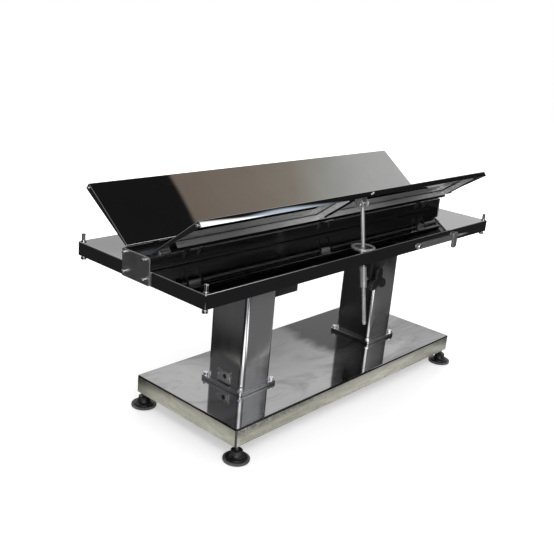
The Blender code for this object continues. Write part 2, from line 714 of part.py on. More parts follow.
def make_deck_frame(look):
    """Two rails along the tray, a cross tube near each end and the mounts over the columns."""
    rail_z = MOUNT_TOP - RAIL_HEIGHT / 2
    for side, sign in (("front", -1), ("rear", 1)):
        mesh = tube_mesh(RAIL_HEIGHT, RAIL_WIDTH, RAIL_WALL, RAIL_ROUND, RAIL_LENGTH)
        add("deck_rail_" + side, mesh, "deck", look["frame"], moved(0, sign * RAIL_Y, rail_z) @ ALONG_X)
    x = RAIL_LENGTH / 2 + CROSS_GAP + CROSS_WIDTH / 2
    z = MOUNT_TOP - CROSS_HEIGHT / 2
    for side, sign in (("left", -1), ("right", 1)):
        mesh = tube_mesh(CROSS_WIDTH, CROSS_HEIGHT, RAIL_WALL, RAIL_ROUND, CROSS_LENGTH)
        add("deck_cross_" + side, mesh, "deck", look["frame"], moved(sign * x, 0, z) @ ALONG_Y)
    make_mount("tilt_mount", COLUMN_RIGHT_X, circle(PIN_RADIUS + BORE_PLAY), look)
    slot = capsule(PIN_RADIUS + SLOT_PLAY, (-SLOT_TRAVEL - SLOT_PLAY, 0), (SLOT_PLAY, 0))
    make_mount("slide_mount", COLUMN_LEFT_X, slot, look)


def make_mount(name, x, hole, look):
    """A plate between the deck rails with two lugs that hang over the column's pin."""
    width = 2 * (RAIL_Y - RAIL_WIDTH / 2 - SEAT)
    z = MOUNT_TOP - MOUNT_THICK / 2
    plate = add(name, box_mesh((MOUNT_X, width, MOUNT_THICK)), "deck", look["frame"], moved(x, 0, z))
    reach = PIN_DROP + MOUNT_THICK / 2
    far = min(px for px, _ in hole) + PIN_RADIUS
    lug = [(LUG_RADIUS, reach), (far - LUG_RADIUS, reach)]
    lug += arc((far, 0), LUG_RADIUS, math.pi, math.pi + QUARTER, ARC_STEPS)
    lug += arc((0, 0), LUG_RADIUS, -QUARTER, 0, ARC_STEPS)
    for sign in (-1, 1):
        mesh = prism_mesh([lug, hole], LUG_THICK)
        fuse(plate, add("lug", mesh, "deck", look["frame"], moved(x, sign * LUG_Y, PIN_Z) @ ALONG_FRONT))


def make_channel(look):
    """The open channel between the wings, with the lugs that hold both hinge pins."""
    width, height, wall = CHANNEL_WIDTH / 2, CHANNEL_HEIGHT, CHANNEL_WALL
    section = [
        (-width, 0), (width, 0), (width, height), (width - wall, height),
        (width - wall, wall), (wall - width, wall), (wall - width, height), (-width, height),
    ]
    length = DECK_LENGTH - 2 * SEAT
    place = moved(0, 0, CHANNEL_BOTTOM) @ turned("Z", QUARTER) @ ALONG_FRONT
    channel = add("centre_channel", prism_mesh([section], length), "deck", look["steel"], place)
    root = CHANNEL_WIDTH / 2 - CHANNEL_WALL / 2
    rise = HINGE_Z - CHANNEL_BOTTOM
    ear = [(root, height - wall), (root, height / 3)]
    ear += arc((HINGE_OUT, rise), BARREL_RADIUS, LUG_ARC_FROM, LUG_ARC_TO, LUG_ARC_STEPS)
    offset = BARREL_LENGTH / 2 + LUG_GAP + LUG_PLATE / 2
    for side in TURNS:
        for middle in (-HINGE_SPACING, 0, HINGE_SPACING):
            for step in (-offset, offset):
                bore = circle(HINGE_PIN_RADIUS + BORE_PLAY, SIDES_SMALL, (HINGE_OUT, rise))
                lug = prism_mesh([ear, bore], LUG_PLATE)
                turn = TURNS[side] @ moved(middle + step, 0, CHANNEL_BOTTOM)
                lug = add("hinge_lug", lug, "deck", look["steel"], turn @ turned("Z", -QUARTER) @ ALONG_FRONT)
                fuse(channel, lug)
    profile = capped_pin(HINGE_PIN_RADIUS, HINGE_PIN_LENGTH / 2, HINGE_PIN_CAP, HINGE_PIN_CAP_THICK)
    for side in TURNS:
        place = TURNS[side] @ moved(0, -HINGE_OUT, HINGE_Z) @ ALONG_X
        lathe("%s_hinge_pin" % side, profile, "deck", look["chrome"], place, SIDES_SMALL)


def make_end_plates(look):
    """A plate over each end of the deck and channel, with four screws."""
    height = END_PLATE_TOP + END_PLATE_DROP
    z = DECK_TOP + (END_PLATE_TOP - END_PLATE_DROP) / 2
    for side, sign in (("left", -1), ("right", 1)):
        outline = rounded(height, END_PLATE_WIDTH, END_PLATE_ROUND, steps=BEND_STEPS)
        mesh = prism_mesh([outline], END_PLATE_THICK)
        x = sign * (DECK_LENGTH / 2 + SEAT + END_PLATE_THICK / 2)
        plate = add("%s_end_plate" % side, mesh, "deck", look["steel"], moved(x, 0, z) @ ALONG_X)
        for sy in (-1, 1):
            for dz in (height / 2 - END_SCREW_INSET_TOP, END_SCREW_INSET_LOW - height / 2):
                screw = rod_mesh(END_SCREW_RADIUS, END_SCREW_REACH + END_PLATE_THICK / 2, SIDES_SMALL)
                out = sign * (END_SCREW_REACH / 2 + END_PLATE_THICK / 4)
                y = sy * (END_PLATE_WIDTH / 2 - END_SCREW_INSET_Y)
                place = moved(x + out, y, z + dz) @ ALONG_X
                fuse(plate, add("end_screw", screw, "deck", look["chrome"], place))


# Wings

def wing_place(side):
    """World place of a wing: its pin on the hinge, turned up by the rest angle."""
    return TURNS[side] @ moved(0, -HINGE_OUT, HINGE_Z) @ turned("X", -WING_ANGLE)


def wing_mesh():
    """The wing's sheet as a surface: -Y is out from the hinge, with rims folded down on three sides.

    The sheet reaches past the hinge as a lip over the channel, and the end rims grow from their depth at
    the lip to the outer rim's depth.
    """
    bm = open_box(WING_LENGTH, WING_WIDTH + WING_LIP, WING_RIM, [(0, 0, -1), (0, 1, 0)])
    for vert in bm.verts:
        if vert.co.y > 0 and vert.co.z < 0:
            vert.co.z = -WING_END_RIM
    bmesh.ops.translate(bm, vec=(0, (WING_LIP - WING_WIDTH) / 2, WING_RISE), verts=bm.verts)
    return finished(bm)


def make_wing(side, look):
    """One wing: the folded sheet with its studs and the cheeks that hold the stay rod's eye."""
    owner = side + "_wing"
    place = wing_place(side)
    wing = add(side + "_wing", wing_mesh(), owner, look["polished"], place)
    folded(wing, WING_SHEET, WING_FOLD)
    gap = BALL_RADIUS + CHEEK_GAP
    under = WING_RISE - WING_SHEET / 2 + BALL_BELOW
    cheek = [(CHEEK_RADIUS, under), (-CHEEK_RADIUS, under)]
    cheek += arc((0, 0), CHEEK_RADIUS, math.pi, 2 * math.pi, HALF_STEPS)
    upright = turned("Z", -QUARTER) @ ALONG_FRONT
    for sign in (-1, 1):
        x = ROD_X + sign * (gap + CHEEK_THICK / 2)
        spot = place @ moved(x, -BALL_OUT, -BALL_BELOW) @ upright
        fuse(wing, add("cheek", prism_mesh([cheek], CHEEK_THICK), owner, look["polished"], spot))
    half = gap + CHEEK_THICK + EYE_PIN_CAP_THICK
    profile = capped_pin(EYE_PIN_RADIUS, half, EYE_PIN_CAP, EYE_PIN_CAP_THICK)
    spot = place @ moved(ROD_X, -BALL_OUT, -BALL_BELOW) @ ALONG_X
    fuse(wing, lathe("eye_pin", profile, owner, look["chrome"], spot, SIDES_SMALL))
    stud_z = WING_RISE - WING_RIM / 2
    for x, y, turn in (
        (-WING_LENGTH / 2, 2 * STUD_RADIUS - WING_WIDTH, ALONG_X),
        (WING_LENGTH / 2, 2 * STUD_RADIUS - WING_WIDTH, ALONG_X),
        (0, -WING_WIDTH, ALONG_Y),
    ):
        stud = rod_mesh(STUD_RADIUS, STUD_REACH, SIDES_SMALL)
        fuse(wing, add("stud", stud, owner, look["chrome"], place @ moved(x, y, stud_z) @ turn))


def stiffener(length, width, depth):
    """A U channel, open downwards, along Z about its middle: X is across and +Y is its web."""
    half, wall = width / 2, STIFF_WALL
    return prism_mesh([[
        (-half, 0), (-half, -depth), (wall - half, -depth), (wall - half, -wall),
        (half - wall, -wall), (half - wall, -depth), (half, -depth), (half, 0),
    ]], length)


def make_wing_frame(side, look):
    """The welded frame under a wing, with the barrels that turn on the hinge pin."""
    owner = side + "_wing"
    place = wing_place(side)
    web = WING_RISE - WING_SHEET - SEAT
    lie = moved(0, -STIFF_FROM_HINGE, web) @ turned("Z", QUARTER) @ ALONG_FRONT
    frame = stiffener(STIFF_LENGTH, STIFF_WIDTH, STIFF_DEPTH)
    frame = add(side + "_wing_frame", frame, owner, look["frame"], place @ lie)
    inner = STIFF_FROM_HINGE + STIFF_WIDTH / 2 - STIFF_WALL / 2
    outer = WING_WIDTH - WING_SHEET - RIB_END_GAP
    for x in (RIB_NEAR_X, RIB_FAR_X):
        lie = moved(x, -(inner + outer) / 2, web - RIB_STEP) @ ALONG_FRONT
        rib = stiffener(outer - inner, STIFF_WIDTH, STIFF_DEPTH - 2 * RIB_STEP)
        fuse(frame, add("rib", rib, owner, look["frame"], place @ lie))
    leaf_out = STIFF_FROM_HINGE - STIFF_WIDTH / 2 + STIFF_WALL / 2
    for middle in (-HINGE_SPACING, 0, HINGE_SPACING):
        leaf = box_mesh((LEAF_LENGTH, leaf_out - LEAF_DROP, LEAF_THICK))
        height = BARREL_RADIUS - LEAF_DROP - LEAF_THICK / 2
        spot = place @ moved(middle, -(leaf_out + LEAF_DROP) / 2, height)
        leaf = add("leaf", leaf, owner, look["frame"], spot)
        barrel = rod_mesh(BARREL_RADIUS, BARREL_LENGTH)
        barrel = add("barrel", barrel, owner, look["frame"], place @ moved(middle, 0, 0) @ ALONG_X)
        fuse(frame, leaf, barrel)
    bore = rod_mesh(HINGE_PIN_RADIUS + BORE_PLAY, HINGE_PIN_LENGTH)
    cut(frame, add("bore", bore, owner, look["frame"], place @ ALONG_X))


# Stays

def rod_place(side):
    """World place of a stay rod: its eye at the wing's cheeks, -Z down the leaning rod."""
    return TURNS[side] @ moved(ROD_X, -BALL_Y, BALL_Z) @ turned("X", -ROD_LEAN)


def make_stay(side, look):
    """The stay rod with its eye, the sleeve that slides on it and the clamp bracket under the deck."""
    neck = math.acos(ROD_RADIUS / BALL_RADIUS)
    ball = arc((0, 0), BALL_RADIUS, QUARTER, -neck, HALF_STEPS)
    tip = [(ROD_RADIUS, ROD_TIP - ROD_LENGTH), (ROD_RADIUS - ROD_TIP, -ROD_LENGTH), (0, -ROD_LENGTH)]
    rod = lathe(side + "_stay_rod", ball + tip, side + "_rod", look["chrome"], rod_place(side))
    bore = rod_mesh(EYE_PIN_RADIUS + BORE_PLAY, 2 * BALL_RADIUS + OVERRUN)
    cut(rod, add("eye_bore", bore, side + "_rod", look["chrome"], rod_place(side) @ ALONG_X))
    place = rod_place(side) @ moved(0, 0, -TRUNNION_DOWN)
    bore = ROD_RADIUS + BORE_PLAY
    tube = prism_mesh([circle(SLEEVE_RADIUS), circle(bore)], SLEEVE_LENGTH)
    spot = place @ moved(0, 0, SLEEVE_ABOVE - SLEEVE_LENGTH / 2)
    sleeve = add(side + "_clamp_sleeve", tube, side + "_sleeve", look["chrome"], spot, True)
    start = (bore + SLEEVE_RADIUS) / 2
    length = TRUNNION_END_X - ROD_X - start
    trunnion = rod_mesh(TRUNNION_RADIUS, length)
    spot = place @ moved(start + length / 2, 0, 0) @ ALONG_X
    fuse(sleeve, add("trunnion", trunnion, side + "_sleeve", look["chrome"], spot))
    make_bracket(side, look)
    make_knob(side, look)


def make_bracket(side, look):
    """The clamp bracket: a tapered block with a window for the sleeve's pin and a threaded hole."""
    outline = [
        (BRACKET_X0, MOUNT_TOP), (BRACKET_X0, BRACKET_BOTTOM + BRACKET_ROUND),
        (BRACKET_X0 + BRACKET_ROUND, BRACKET_BOTTOM), (BRACKET_NECK_X1 - BRACKET_ROUND, BRACKET_BOTTOM),
        (BRACKET_NECK_X1, BRACKET_BOTTOM + BRACKET_ROUND), (BRACKET_NECK_X1, BRACKET_SHOULDER),
        (BRACKET_X1, BRACKET_SHOULDER + BRACKET_SHOULDER_SLOPE), (BRACKET_X1, MOUNT_TOP),
    ]
    block = prism_mesh([outline], BRACKET_THICK)
    place = TURNS[side] @ moved(0, -TRUNNION_OUT, 0) @ ALONG_FRONT
    block = add(side + "_clamp_bracket", block, "deck", look["black"], place)
    straight = SLOT_HALF_OUT - SLOT_HALF_UP
    window = prism_mesh([capsule(SLOT_HALF_UP, (-straight, 0), (straight, 0))], BRACKET_X1)
    spot = TURNS[side] @ moved(BRACKET_X1 / 2 - OVERRUN, -TRUNNION_OUT, TRUNNION_HEIGHT)
    upright = turned("Z", QUARTER) @ ALONG_FRONT
    cut(block, add("window", window, "deck", look["black"], spot @ upright))
    hole = rod_mesh(KNOB_SCREW_RADIUS + KNOB_SCREW_PLAY, BRACKET_THICK)
    spot = TURNS[side] @ moved(KNOB_X, -BRACKET_FRONT, TRUNNION_HEIGHT) @ ALONG_Y
    cut(block, add("screw_hole", hole, "deck", look["black"], spot))


def make_knob(side, look):
    """A three-lobed knob on its screw: the radius swells by a cosine three times in a turn."""
    owner = side + "_knob"
    outline = []
    for x, y in circle(1, KNOB_POINTS):
        radius = KNOB_RADIUS + KNOB_LOBE * math.cos(KNOB_LOBES * (math.atan2(y, x) - QUARTER))
        outline.append((radius * x, radius * y))
    gap = SEAT + KNOB_HUB_LENGTH + KNOB_THICK / 2
    place = TURNS[side] @ moved(KNOB_X, -BRACKET_FRONT, TRUNNION_HEIGHT) @ ALONG_FRONT
    knob = prism_mesh([outline], KNOB_THICK, KNOB_EDGE)
    knob = add(side + "_clamp_knob", knob, owner, look["black"], place @ moved(0, 0, gap))
    hub = SEAT + KNOB_HUB_LENGTH + KNOB_EDGE
    profile = [(0, hub), (KNOB_HUB_RADIUS, hub), (KNOB_HUB_RADIUS, SEAT), (KNOB_SCREW_RADIUS, SEAT)]
    profile += [(KNOB_SCREW_RADIUS, -KNOB_SCREW_LENGTH), (0, -KNOB_SCREW_LENGTH)]
    fuse(knob, lathe("knob_screw", profile, owner, look["black"], place, SIDES_SMALL))


def make_lever(look):
    """The side lever: a flat bar on a screw in the rim, with a paddle grip at its end."""
    height, length = LEVER_HALF_HEIGHT, LEVER_LENGTH
    place = moved(LEVER_PIVOT_X, -DECK_HALF_WIDTH - SEAT - LEVER_THICK / 2, LEVER_Z) @ ALONG_FRONT
    bar = prism_mesh([capsule(height, (0, 0), (length, 0))], LEVER_THICK)
    bar = add("side_lever", bar, "lever", look["polished"], place)
    outline = rounded(2 * GRIP_HALF_WIDTH, 2 * GRIP_HALF_HEIGHT, GRIP_HALF_WIDTH / 2)
    grip = prism_mesh([outline], GRIP_THICK, GRIP_ROUND)
    out = (GRIP_THICK - LEVER_THICK) / 2
    fuse(bar, add("grip", grip, "lever", look["black"], place @ moved(length, -height, out)))
    profile_out = LEVER_THICK / 2 + LEVER_SCREW_RADIUS
    profile = [(0, profile_out), (LEVER_BOSS / 2, profile_out), (LEVER_BOSS / 2, 0), (LEVER_SCREW_RADIUS, 0)]
    profile += [(LEVER_SCREW_RADIUS, -LEVER_SCREW_REACH), (0, -LEVER_SCREW_REACH)]
    fuse(bar, lathe("lever_screw", profile, "lever", look["chrome"], place, SIDES_SMALL))


def make_bodies():
    """One empty for each body that moves, on its joint's axis."""
    body("base", (0, 0, 0))
    body("right_lift", (COLUMN_RIGHT_X, 0, COLUMN_BOTTOM), "base")
    body("left_lift", (COLUMN_LEFT_X, 0, COLUMN_BOTTOM), "base")
    body("left_head", (COLUMN_LEFT_X, 0, PIN_Z), "left_lift")
    body("deck", (COLUMN_RIGHT_X, 0, PIN_Z), "right_lift")
    body("lever", (LEVER_PIVOT_X, -DECK_HALF_WIDTH, LEVER_Z), "deck")
    for side in TURNS:
        turn = TURNS[side]
        body(side + "_wing", turn @ Vector((0, -HINGE_OUT, HINGE_Z)), "deck")
        body(side + "_rod", turn @ Vector((ROD_X, -BALL_Y, BALL_Z)), side + "_wing")
        body(side + "_sleeve", turn @ Vector((ROD_X, -TRUNNION_OUT, TRUNNION_HEIGHT)), side + "_rod")
        body(side + "_knob", turn @ Vector((KNOB_X, -BRACKET_FRONT, TRUNNION_HEIGHT)), "deck")


def main():
    clear_scene()
    look = {
        "polished": metal("polished stainless sheet", (0.62, 0.62, 0.62), 0.08),
        "steel": metal("stainless steel", (0.50, 0.51, 0.50), 0.20),
        "column": metal("dark brushed stainless tube", (0.30, 0.30, 0.31), 0.22),
        "frame": metal("bright welded steel", (0.66, 0.66, 0.66), 0.18),
        "chrome": metal("chrome", (0.80, 0.80, 0.81), 0.06),
        "black": metal("black plastic", (0.02, 0.02, 0.022), 0.40, 0.0),
    }
    make_bodies()
    make_base(look)
    make_feet(look)
    make_column("right", COLUMN_RIGHT_X, "right_lift", "right_lift", look)
    make_column("left", COLUMN_LEFT_X, "left_lift", "left_head", look)
    make_left_stage(look)
    make_column_boxes(look)
    make_deck(look)
    make_deck_frame(look)
    make_channel(look)
    make_end_plates(look)
    for side in TURNS:
        make_wing(side, look)
        make_wing_frame(side, look)
        make_stay(side, look)
    make_lever(look)


main()
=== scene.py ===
"""Looks of the operating table: polished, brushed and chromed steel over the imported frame, with its studio.

Metres, +Z up. The front is -Y and the table lies along X. Rear pieces are the front ones turned half a turn.
"""

import json
import math
from functools import cached_property

import bpy
import numpy as np
from mathutils import Matrix, Vector


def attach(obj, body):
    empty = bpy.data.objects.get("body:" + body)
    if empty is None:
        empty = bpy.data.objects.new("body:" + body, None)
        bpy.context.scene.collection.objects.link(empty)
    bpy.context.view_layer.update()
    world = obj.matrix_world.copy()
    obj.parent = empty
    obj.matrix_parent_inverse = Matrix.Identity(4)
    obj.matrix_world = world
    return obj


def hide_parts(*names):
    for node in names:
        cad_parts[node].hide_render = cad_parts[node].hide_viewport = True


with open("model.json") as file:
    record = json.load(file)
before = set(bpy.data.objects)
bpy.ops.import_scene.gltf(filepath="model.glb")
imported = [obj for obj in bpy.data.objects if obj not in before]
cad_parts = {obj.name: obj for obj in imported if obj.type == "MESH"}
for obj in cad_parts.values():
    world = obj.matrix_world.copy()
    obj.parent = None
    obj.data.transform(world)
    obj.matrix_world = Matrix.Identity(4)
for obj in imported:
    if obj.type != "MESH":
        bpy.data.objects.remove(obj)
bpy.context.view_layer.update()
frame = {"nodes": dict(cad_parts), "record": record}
scene = bpy.context.scene

# Sizes of the pieces, as the frame has them. X, Y and OUT are places, counted from the table's middle
SEAT = 0.0003
DECK_LENGTH, DECK_WIDTH, DECK_TOP, DECK_RIM = 1.3, 0.492, 0.5226, 0.037
BASE_LENGTH, BASE_WIDTH, BASE_TOP, BASE_DEPTH, BASE_SHIFT = 1.057, 0.412, 0.1, 0.052, 0.056
FOOT_X, FOOT_Y, POST_X, POST_Y = 0.51, 0.194, 0.6395, 0.2355
COLUMN_LENGTH, COLUMN_WIDTH, COLUMN_ROUND = 0.12, 0.141, 0.014
COLUMN_X = {"left": -0.2626, "right": 0.3457}
BOX_LENGTH, BOX_HEIGHT, BOX_TOP, PLATE_Z = 0.106, 0.075, 0.4371, 0.1316
WING_LENGTH, WING_WIDTH, WING_SHEET, WING_RISE = 1.297, 0.182, 0.0015, 0.008
WING_RIM, WING_END_RIM, WING_LIP, WING_FOLD = 0.0164, 0.004, 0.022, 0.0024
HEM_DEPTH, HEM_FOLD = 0.0048, 0.0016
WING_ANGLE = math.radians(36.7)
HINGE_OUT, HINGE_Z, HINGE_PLACES, PIN_BORE = 0.0648, 0.5689, (-0.52, 0.0, 0.52), 0.0037
ROD_LEAN, CLAMP_Z = math.radians(9.3), 0.43
STAY_X, KNOB_X, KNOB_OUT = -0.014, 0.021, 0.2404
LEVER_X, LEVER_Z, LEVER_REACH, LEVER_ROUND, LEVER_THICK = 0.225, 0.4966, 0.208, 0.009, 0.0045

# On a wing, counted out from its hinge: the frame's long bar, its ribs, and the eye of the stay
BAR_OUT, BAR_WIDTH, BAR_WALL = 0.037, 0.03, 0.002
RIB_PLACES, RIB_START, RIB_END = (-0.09, 0.585), 0.051, 0.1745
EYE_OUT, EYE_DOWN = 0.146, 0.014
EYE_Y = HINGE_OUT + EYE_OUT * math.cos(WING_ANGLE) + EYE_DOWN * math.sin(WING_ANGLE)
EYE_Z = HINGE_Z + EYE_OUT * math.sin(WING_ANGLE) - EYE_DOWN * math.cos(WING_ANGLE)
RING_OUT = EYE_Y + (EYE_Z - DECK_TOP) * math.tan(ROD_LEAN)
CLAMP_DOWN = (EYE_Z - CLAMP_Z) / math.cos(ROD_LEAN)

# Meshes: how far a guard line lies from a bend, so that the bend's shading stays in it, and what stays sharp
GUARD = 0.0004
SHARP_ANGLE = math.radians(30)
HALF, QUARTER = math.pi, math.pi / 2


# Placing

def moved(x, y, z):
    return Matrix.Translation((x, y, z))


def turned(axis, angle):
    return Matrix.Rotation(angle, 4, axis)


ALONG_X = turned("Y", QUARTER)
ALONG_Y = turned("X", -QUARTER)
ALONG_FRONT = turned("X", QUARTER)
SIDES = {"front": turned("Z", 0), "rear": turned("Z", HALF)}


def wing_place(side):
    """Place of a wing: its pin on the hinge, turned up by the rest angle, with -Y out from the hinge."""
    return SIDES[side] @ moved(0, -HINGE_OUT, HINGE_Z) @ turned("X", -WING_ANGLE)


def rod_place(side):
    """Place of a stay rod: its eye at the wing's cheeks, -Z down the leaning rod."""
    return SIDES[side] @ moved(STAY_X, -EYE_Y, EYE_Z) @ turned("X", -ROD_LEAN)


# Shells: each is (points, faces), closed and facing outwards

def grid(points, wrap=(False, False)):
    """A surface of rows and columns of points. A wrapped direction joins its last line to its first."""
    rows, cols = points.shape[:2]
    i = np.arange(rows if wrap[0] else rows - 1)
    j = np.arange(cols if wrap[1] else cols - 1)
    a, b = np.meshgrid(i, j, indexing="ij")
    c, d = (a + 1) % rows, (b + 1) % cols
    faces = np.stack([a * cols + b, c * cols + b, c * cols + d, a * cols + d], -1)
    return points.reshape(-1, 3), faces.reshape(-1, 4)


def closed(points, faces):
    """The surface with equal points made one, its empty triangles dropped and its faces turned outwards."""
    triangles = np.concatenate([faces[:, [0, 1, 2]], faces[:, [0, 2, 3]]])
    _, first, same = np.unique(np.round(points, 7), axis=0, return_index=True, return_inverse=True)
    triangles = same.reshape(-1)[triangles]
    a, b, c = triangles.T
    triangles = triangles[(a != b) & (b != c) & (c != a)]
    points = points[first]
    corners = points[triangles]
    volume = np.einsum("ij,ij->i", corners[:, 0], np.cross(corners[:, 1], corners[:, 2])).sum()
    return points, triangles[:, ::-1] if volume < 0 else triangles


def placed(shell, place):
    """The shell moved and turned by a matrix."""
    m = np.array(place)
    return shell[0] @ m[:3, :3].T + m[:3, 3], shell[1]


def arc(centre, radius, first, last, steps):
    """Points at even angles on a circle, from the first angle to the last."""
    angle = np.linspace(first, last, steps + 1)
    return np.stack([centre[0] + radius * np.cos(angle), centre[1] + radius * np.sin(angle)], -1)


def fillet(corners, radius, steps=4, looped=True, guard=GUARD):
    """A polyline whose corners are turned into arcs, each with a guard point just before and after it.

    An arc touches both sides of its corner, at radius / tan(half the corner's angle) from it.
    """
    corners = np.asarray(corners, float)
    found = []
    for k, here in enumerate(corners):
        if not looped and k in (0, len(corners) - 1):
            found.append(here[None])
            continue
        back, ahead = corners[k - 1] - here, corners[(k + 1) % len(corners)] - here
        back, ahead = back / np.linalg.norm(back), ahead / np.linalg.norm(ahead)
        half = math.acos(np.clip(back @ ahead, -1, 1)) / 2
        middle = (back + ahead) / np.linalg.norm(back + ahead)
        centre = here + middle * radius / math.sin(half)
        start = here + back * radius / math.tan(half) - centre
        turn = np.sign(back[1] * ahead[0] - back[0] * ahead[1])
        angle = turn * np.linspace(0, HALF - 2 * half, steps + 1)
        cos, sin = np.cos(angle), np.sin(angle)
        bend = np.stack([start[0] * cos - start[1] * sin, start[0] * sin + start[1] * cos], -1) + centre
        found.append(np.concatenate([[bend[0] + back * guard], bend, [bend[-1] + ahead * guard]]))
    return np.concatenate(found)


def rectangle(width, depth, radius, steps=5):
    """A rounded rectangle and the outward normal at each of its points."""
    turn = np.linspace(0, QUARTER, steps + 1)
    angle = np.concatenate([turn + k * QUARTER for k in range(4)])
    normal = np.stack([np.cos(angle), np.sin(angle)], -1)
    side = np.repeat([[1, 1], [-1, 1], [-1, -1], [1, -1]], steps + 1, axis=0)
    return side * (np.array([width, depth]) / 2 - radius) + normal * radius, normal


def carried(outline, normal, profile, wrap=False, middle=(0, 0)):
    """A profile of (out, up) carried round an outline. Its ends meet in the middle unless it is wrapped."""
    profile = np.asarray(profile, float)
    ring = outline[None] + normal[None] * profile[:, 0, None, None]
    up = np.broadcast_to(profile[:, 1, None, None], ring.shape[:2] + (1,))
    points = np.concatenate([ring, up], -1)
    if not wrap:
        ends = [np.broadcast_to([*middle, profile[k, 1]], (1, len(outline), 3)) for k in (0, -1)]
        points = np.concatenate([ends[0], points, ends[1]])
    return closed(*grid(points, (wrap, True)))


def slab(outline, normal, low, high, edge, steps=3, middle=(0, 0)):
    """A plate between two heights whose upper and lower edges are rounded."""
    guard = min(edge / 2, GUARD)
    lower = [[-edge - guard, low], *arc((-edge, low + edge), edge, -QUARTER, 0, steps),
             [0, low + edge + guard]]
    upper = [[0, high - edge - guard], *arc((-edge, high - edge), edge, 0, QUARTER, steps),
             [-edge - guard, high]]
    return carried(outline, normal, lower + upper, middle=middle)


def tube(outline, normal, wall, low, high, edge=0.0006):
    """A tube along Z with a wall, its rims eased by a small bevel."""
    guard = edge * 1.5
    bottom = [[0, low + guard], [0, low + edge], [-edge, low],
              [edge - wall, low], [-wall, low + edge], [-wall, low + guard]]
    return carried(outline, normal, bottom + [[x, low + high - z] for x, z in bottom[::-1]], wrap=True)


def lathe(profile, sides=32, hollow=False):
    """A profile of (radius, up) turned once round Z. A hollow one is closed on itself and leaves a hole."""
    profile = np.asarray(profile, float)
    angle = np.arange(sides) * 2 * HALF / sides
    ring = profile[:, 0, None] * np.cos(angle), profile[:, 0, None] * np.sin(angle)
    up = np.broadcast_to(profile[:, 1, None], ring[0].shape)
    return closed(*grid(np.stack([*ring, up], -1), (hollow, True)))


def pan(outline, normal, depth, fold, wall, top=0.0, steps=4, flat_guard=0.0006):
    """A folded sheet: flat on top, bent down along its outline and open below.

    At each outline point the sheet turns through a quarter circle of radius fold, then runs down to depth.
    The inner face is the outer one moved in by the wall.
    """
    depth, fold = (np.broadcast_to(value, len(outline)) for value in (depth, fold))
    angle = np.linspace(0, QUARTER, steps + 1)[:, None]
    rows = []
    for inset, order in ((0.0, 1), (wall, -1)):
        radius = np.maximum(fold - inset, 0.0)
        bend = [-inset - radius + radius * np.sin(angle), top - inset - radius + radius * np.cos(angle)]
        flat = [-inset - radius - flat_guard, np.full_like(radius, top - inset)]
        near, low = ([np.full_like(radius, -inset), np.minimum(top - depth + rise, top - inset)]
                     for rise in (GUARD, 0.0))
        lines = [np.stack(flat, -1)[None], np.stack(bend, -1), [np.stack(near, -1)], [np.stack(low, -1)]]
        rows.append(np.concatenate(lines)[::order])
    rows = np.concatenate(rows)
    ring = outline[None] + normal[None] * rows[..., :1]
    points = np.concatenate([ring, rows[..., 1:]], -1)
    ends = [np.broadcast_to([*outline.mean(0), z], (1, len(outline), 3)) for z in (top, top - wall)]
    return closed(*grid(np.concatenate([ends[0], points, ends[1]]), (False, True)))


def strip(path, wall, length, ease=0.0003):
    """A folded strip: a thin rectangle with eased corners carried along a path, its width along Z.

    The wall is laid on the left of the path, so the path is the sheet's right-hand face.
    """
    path = np.asarray(path, float)
    ahead = np.gradient(path, axis=0)
    ahead /= np.linalg.norm(ahead, axis=1)[:, None]
    left = np.stack([-ahead[:, 1], ahead[:, 0]], -1)
    half = length / 2
    loop = np.array([(0, ease - half), (ease, -half), (wall - ease, -half), (wall, ease - half),
                     (wall, half - ease), (wall - ease, half), (ease, half), (0, half - ease)])
    flat = path[:, None] + left[:, None] * loop[None, :, :1]
    up = np.broadcast_to(loop[None, :, 1:], flat.shape[:2] + (1,))
    points = np.concatenate([flat, up], -1)
    ends = [np.broadcast_to(points[k].mean(0), (1, len(loop), 3)) for k in (0, -1)]
    return closed(*grid(np.concatenate([ends[0], points, ends[1]]), (False, True)))


def holed(outline, centre, bore, thickness, edge=0.0005):
    """A plate about z = 0 between an outline and a round bore, with each point straight out from the bore."""
    out = outline - np.asarray(centre)
    out = out / np.linalg.norm(out, axis=1)[:, None]
    half, eased = thickness / 2, outline - out * edge
    rows = [(eased, half), (outline, half - edge), (outline, edge - half), (eased, -half)]
    rows += [(centre + out * bore, -half), (centre + out * bore, half)]
    points = np.stack([np.column_stack([ring, np.full(len(ring), z)]) for ring, z in rows])
    return closed(*grid(points, (True, True)))


# Materials

# How fine brushed steel is across its grain, the base's skirt with its painted floor reflection, and the grays
# of single marks: painted shade in a patch, in bends and inside bars, and a painted highlight
GRAIN = 520
SKIRT_TOP, SKIRT_STREAK_AND_REFLECTION_COLOURS = BASE_TOP - 0.0042, ((0.40, 0.405, 0.365), (0.72, 0.72, 0.66))
SHADE_PATCH_GRAY, BEND_SHADE_GRAY, INSIDE_SHADE_GRAY, HIGHLIGHT_GRAY = 0.012, 0.035, 0.03, 0.96


def shade(colour):
    """A colour as a socket takes it, from red, green and blue, or from one number for a gray."""
    return (colour, colour, colour, 1) if np.isscalar(colour) else (*colour, 1)


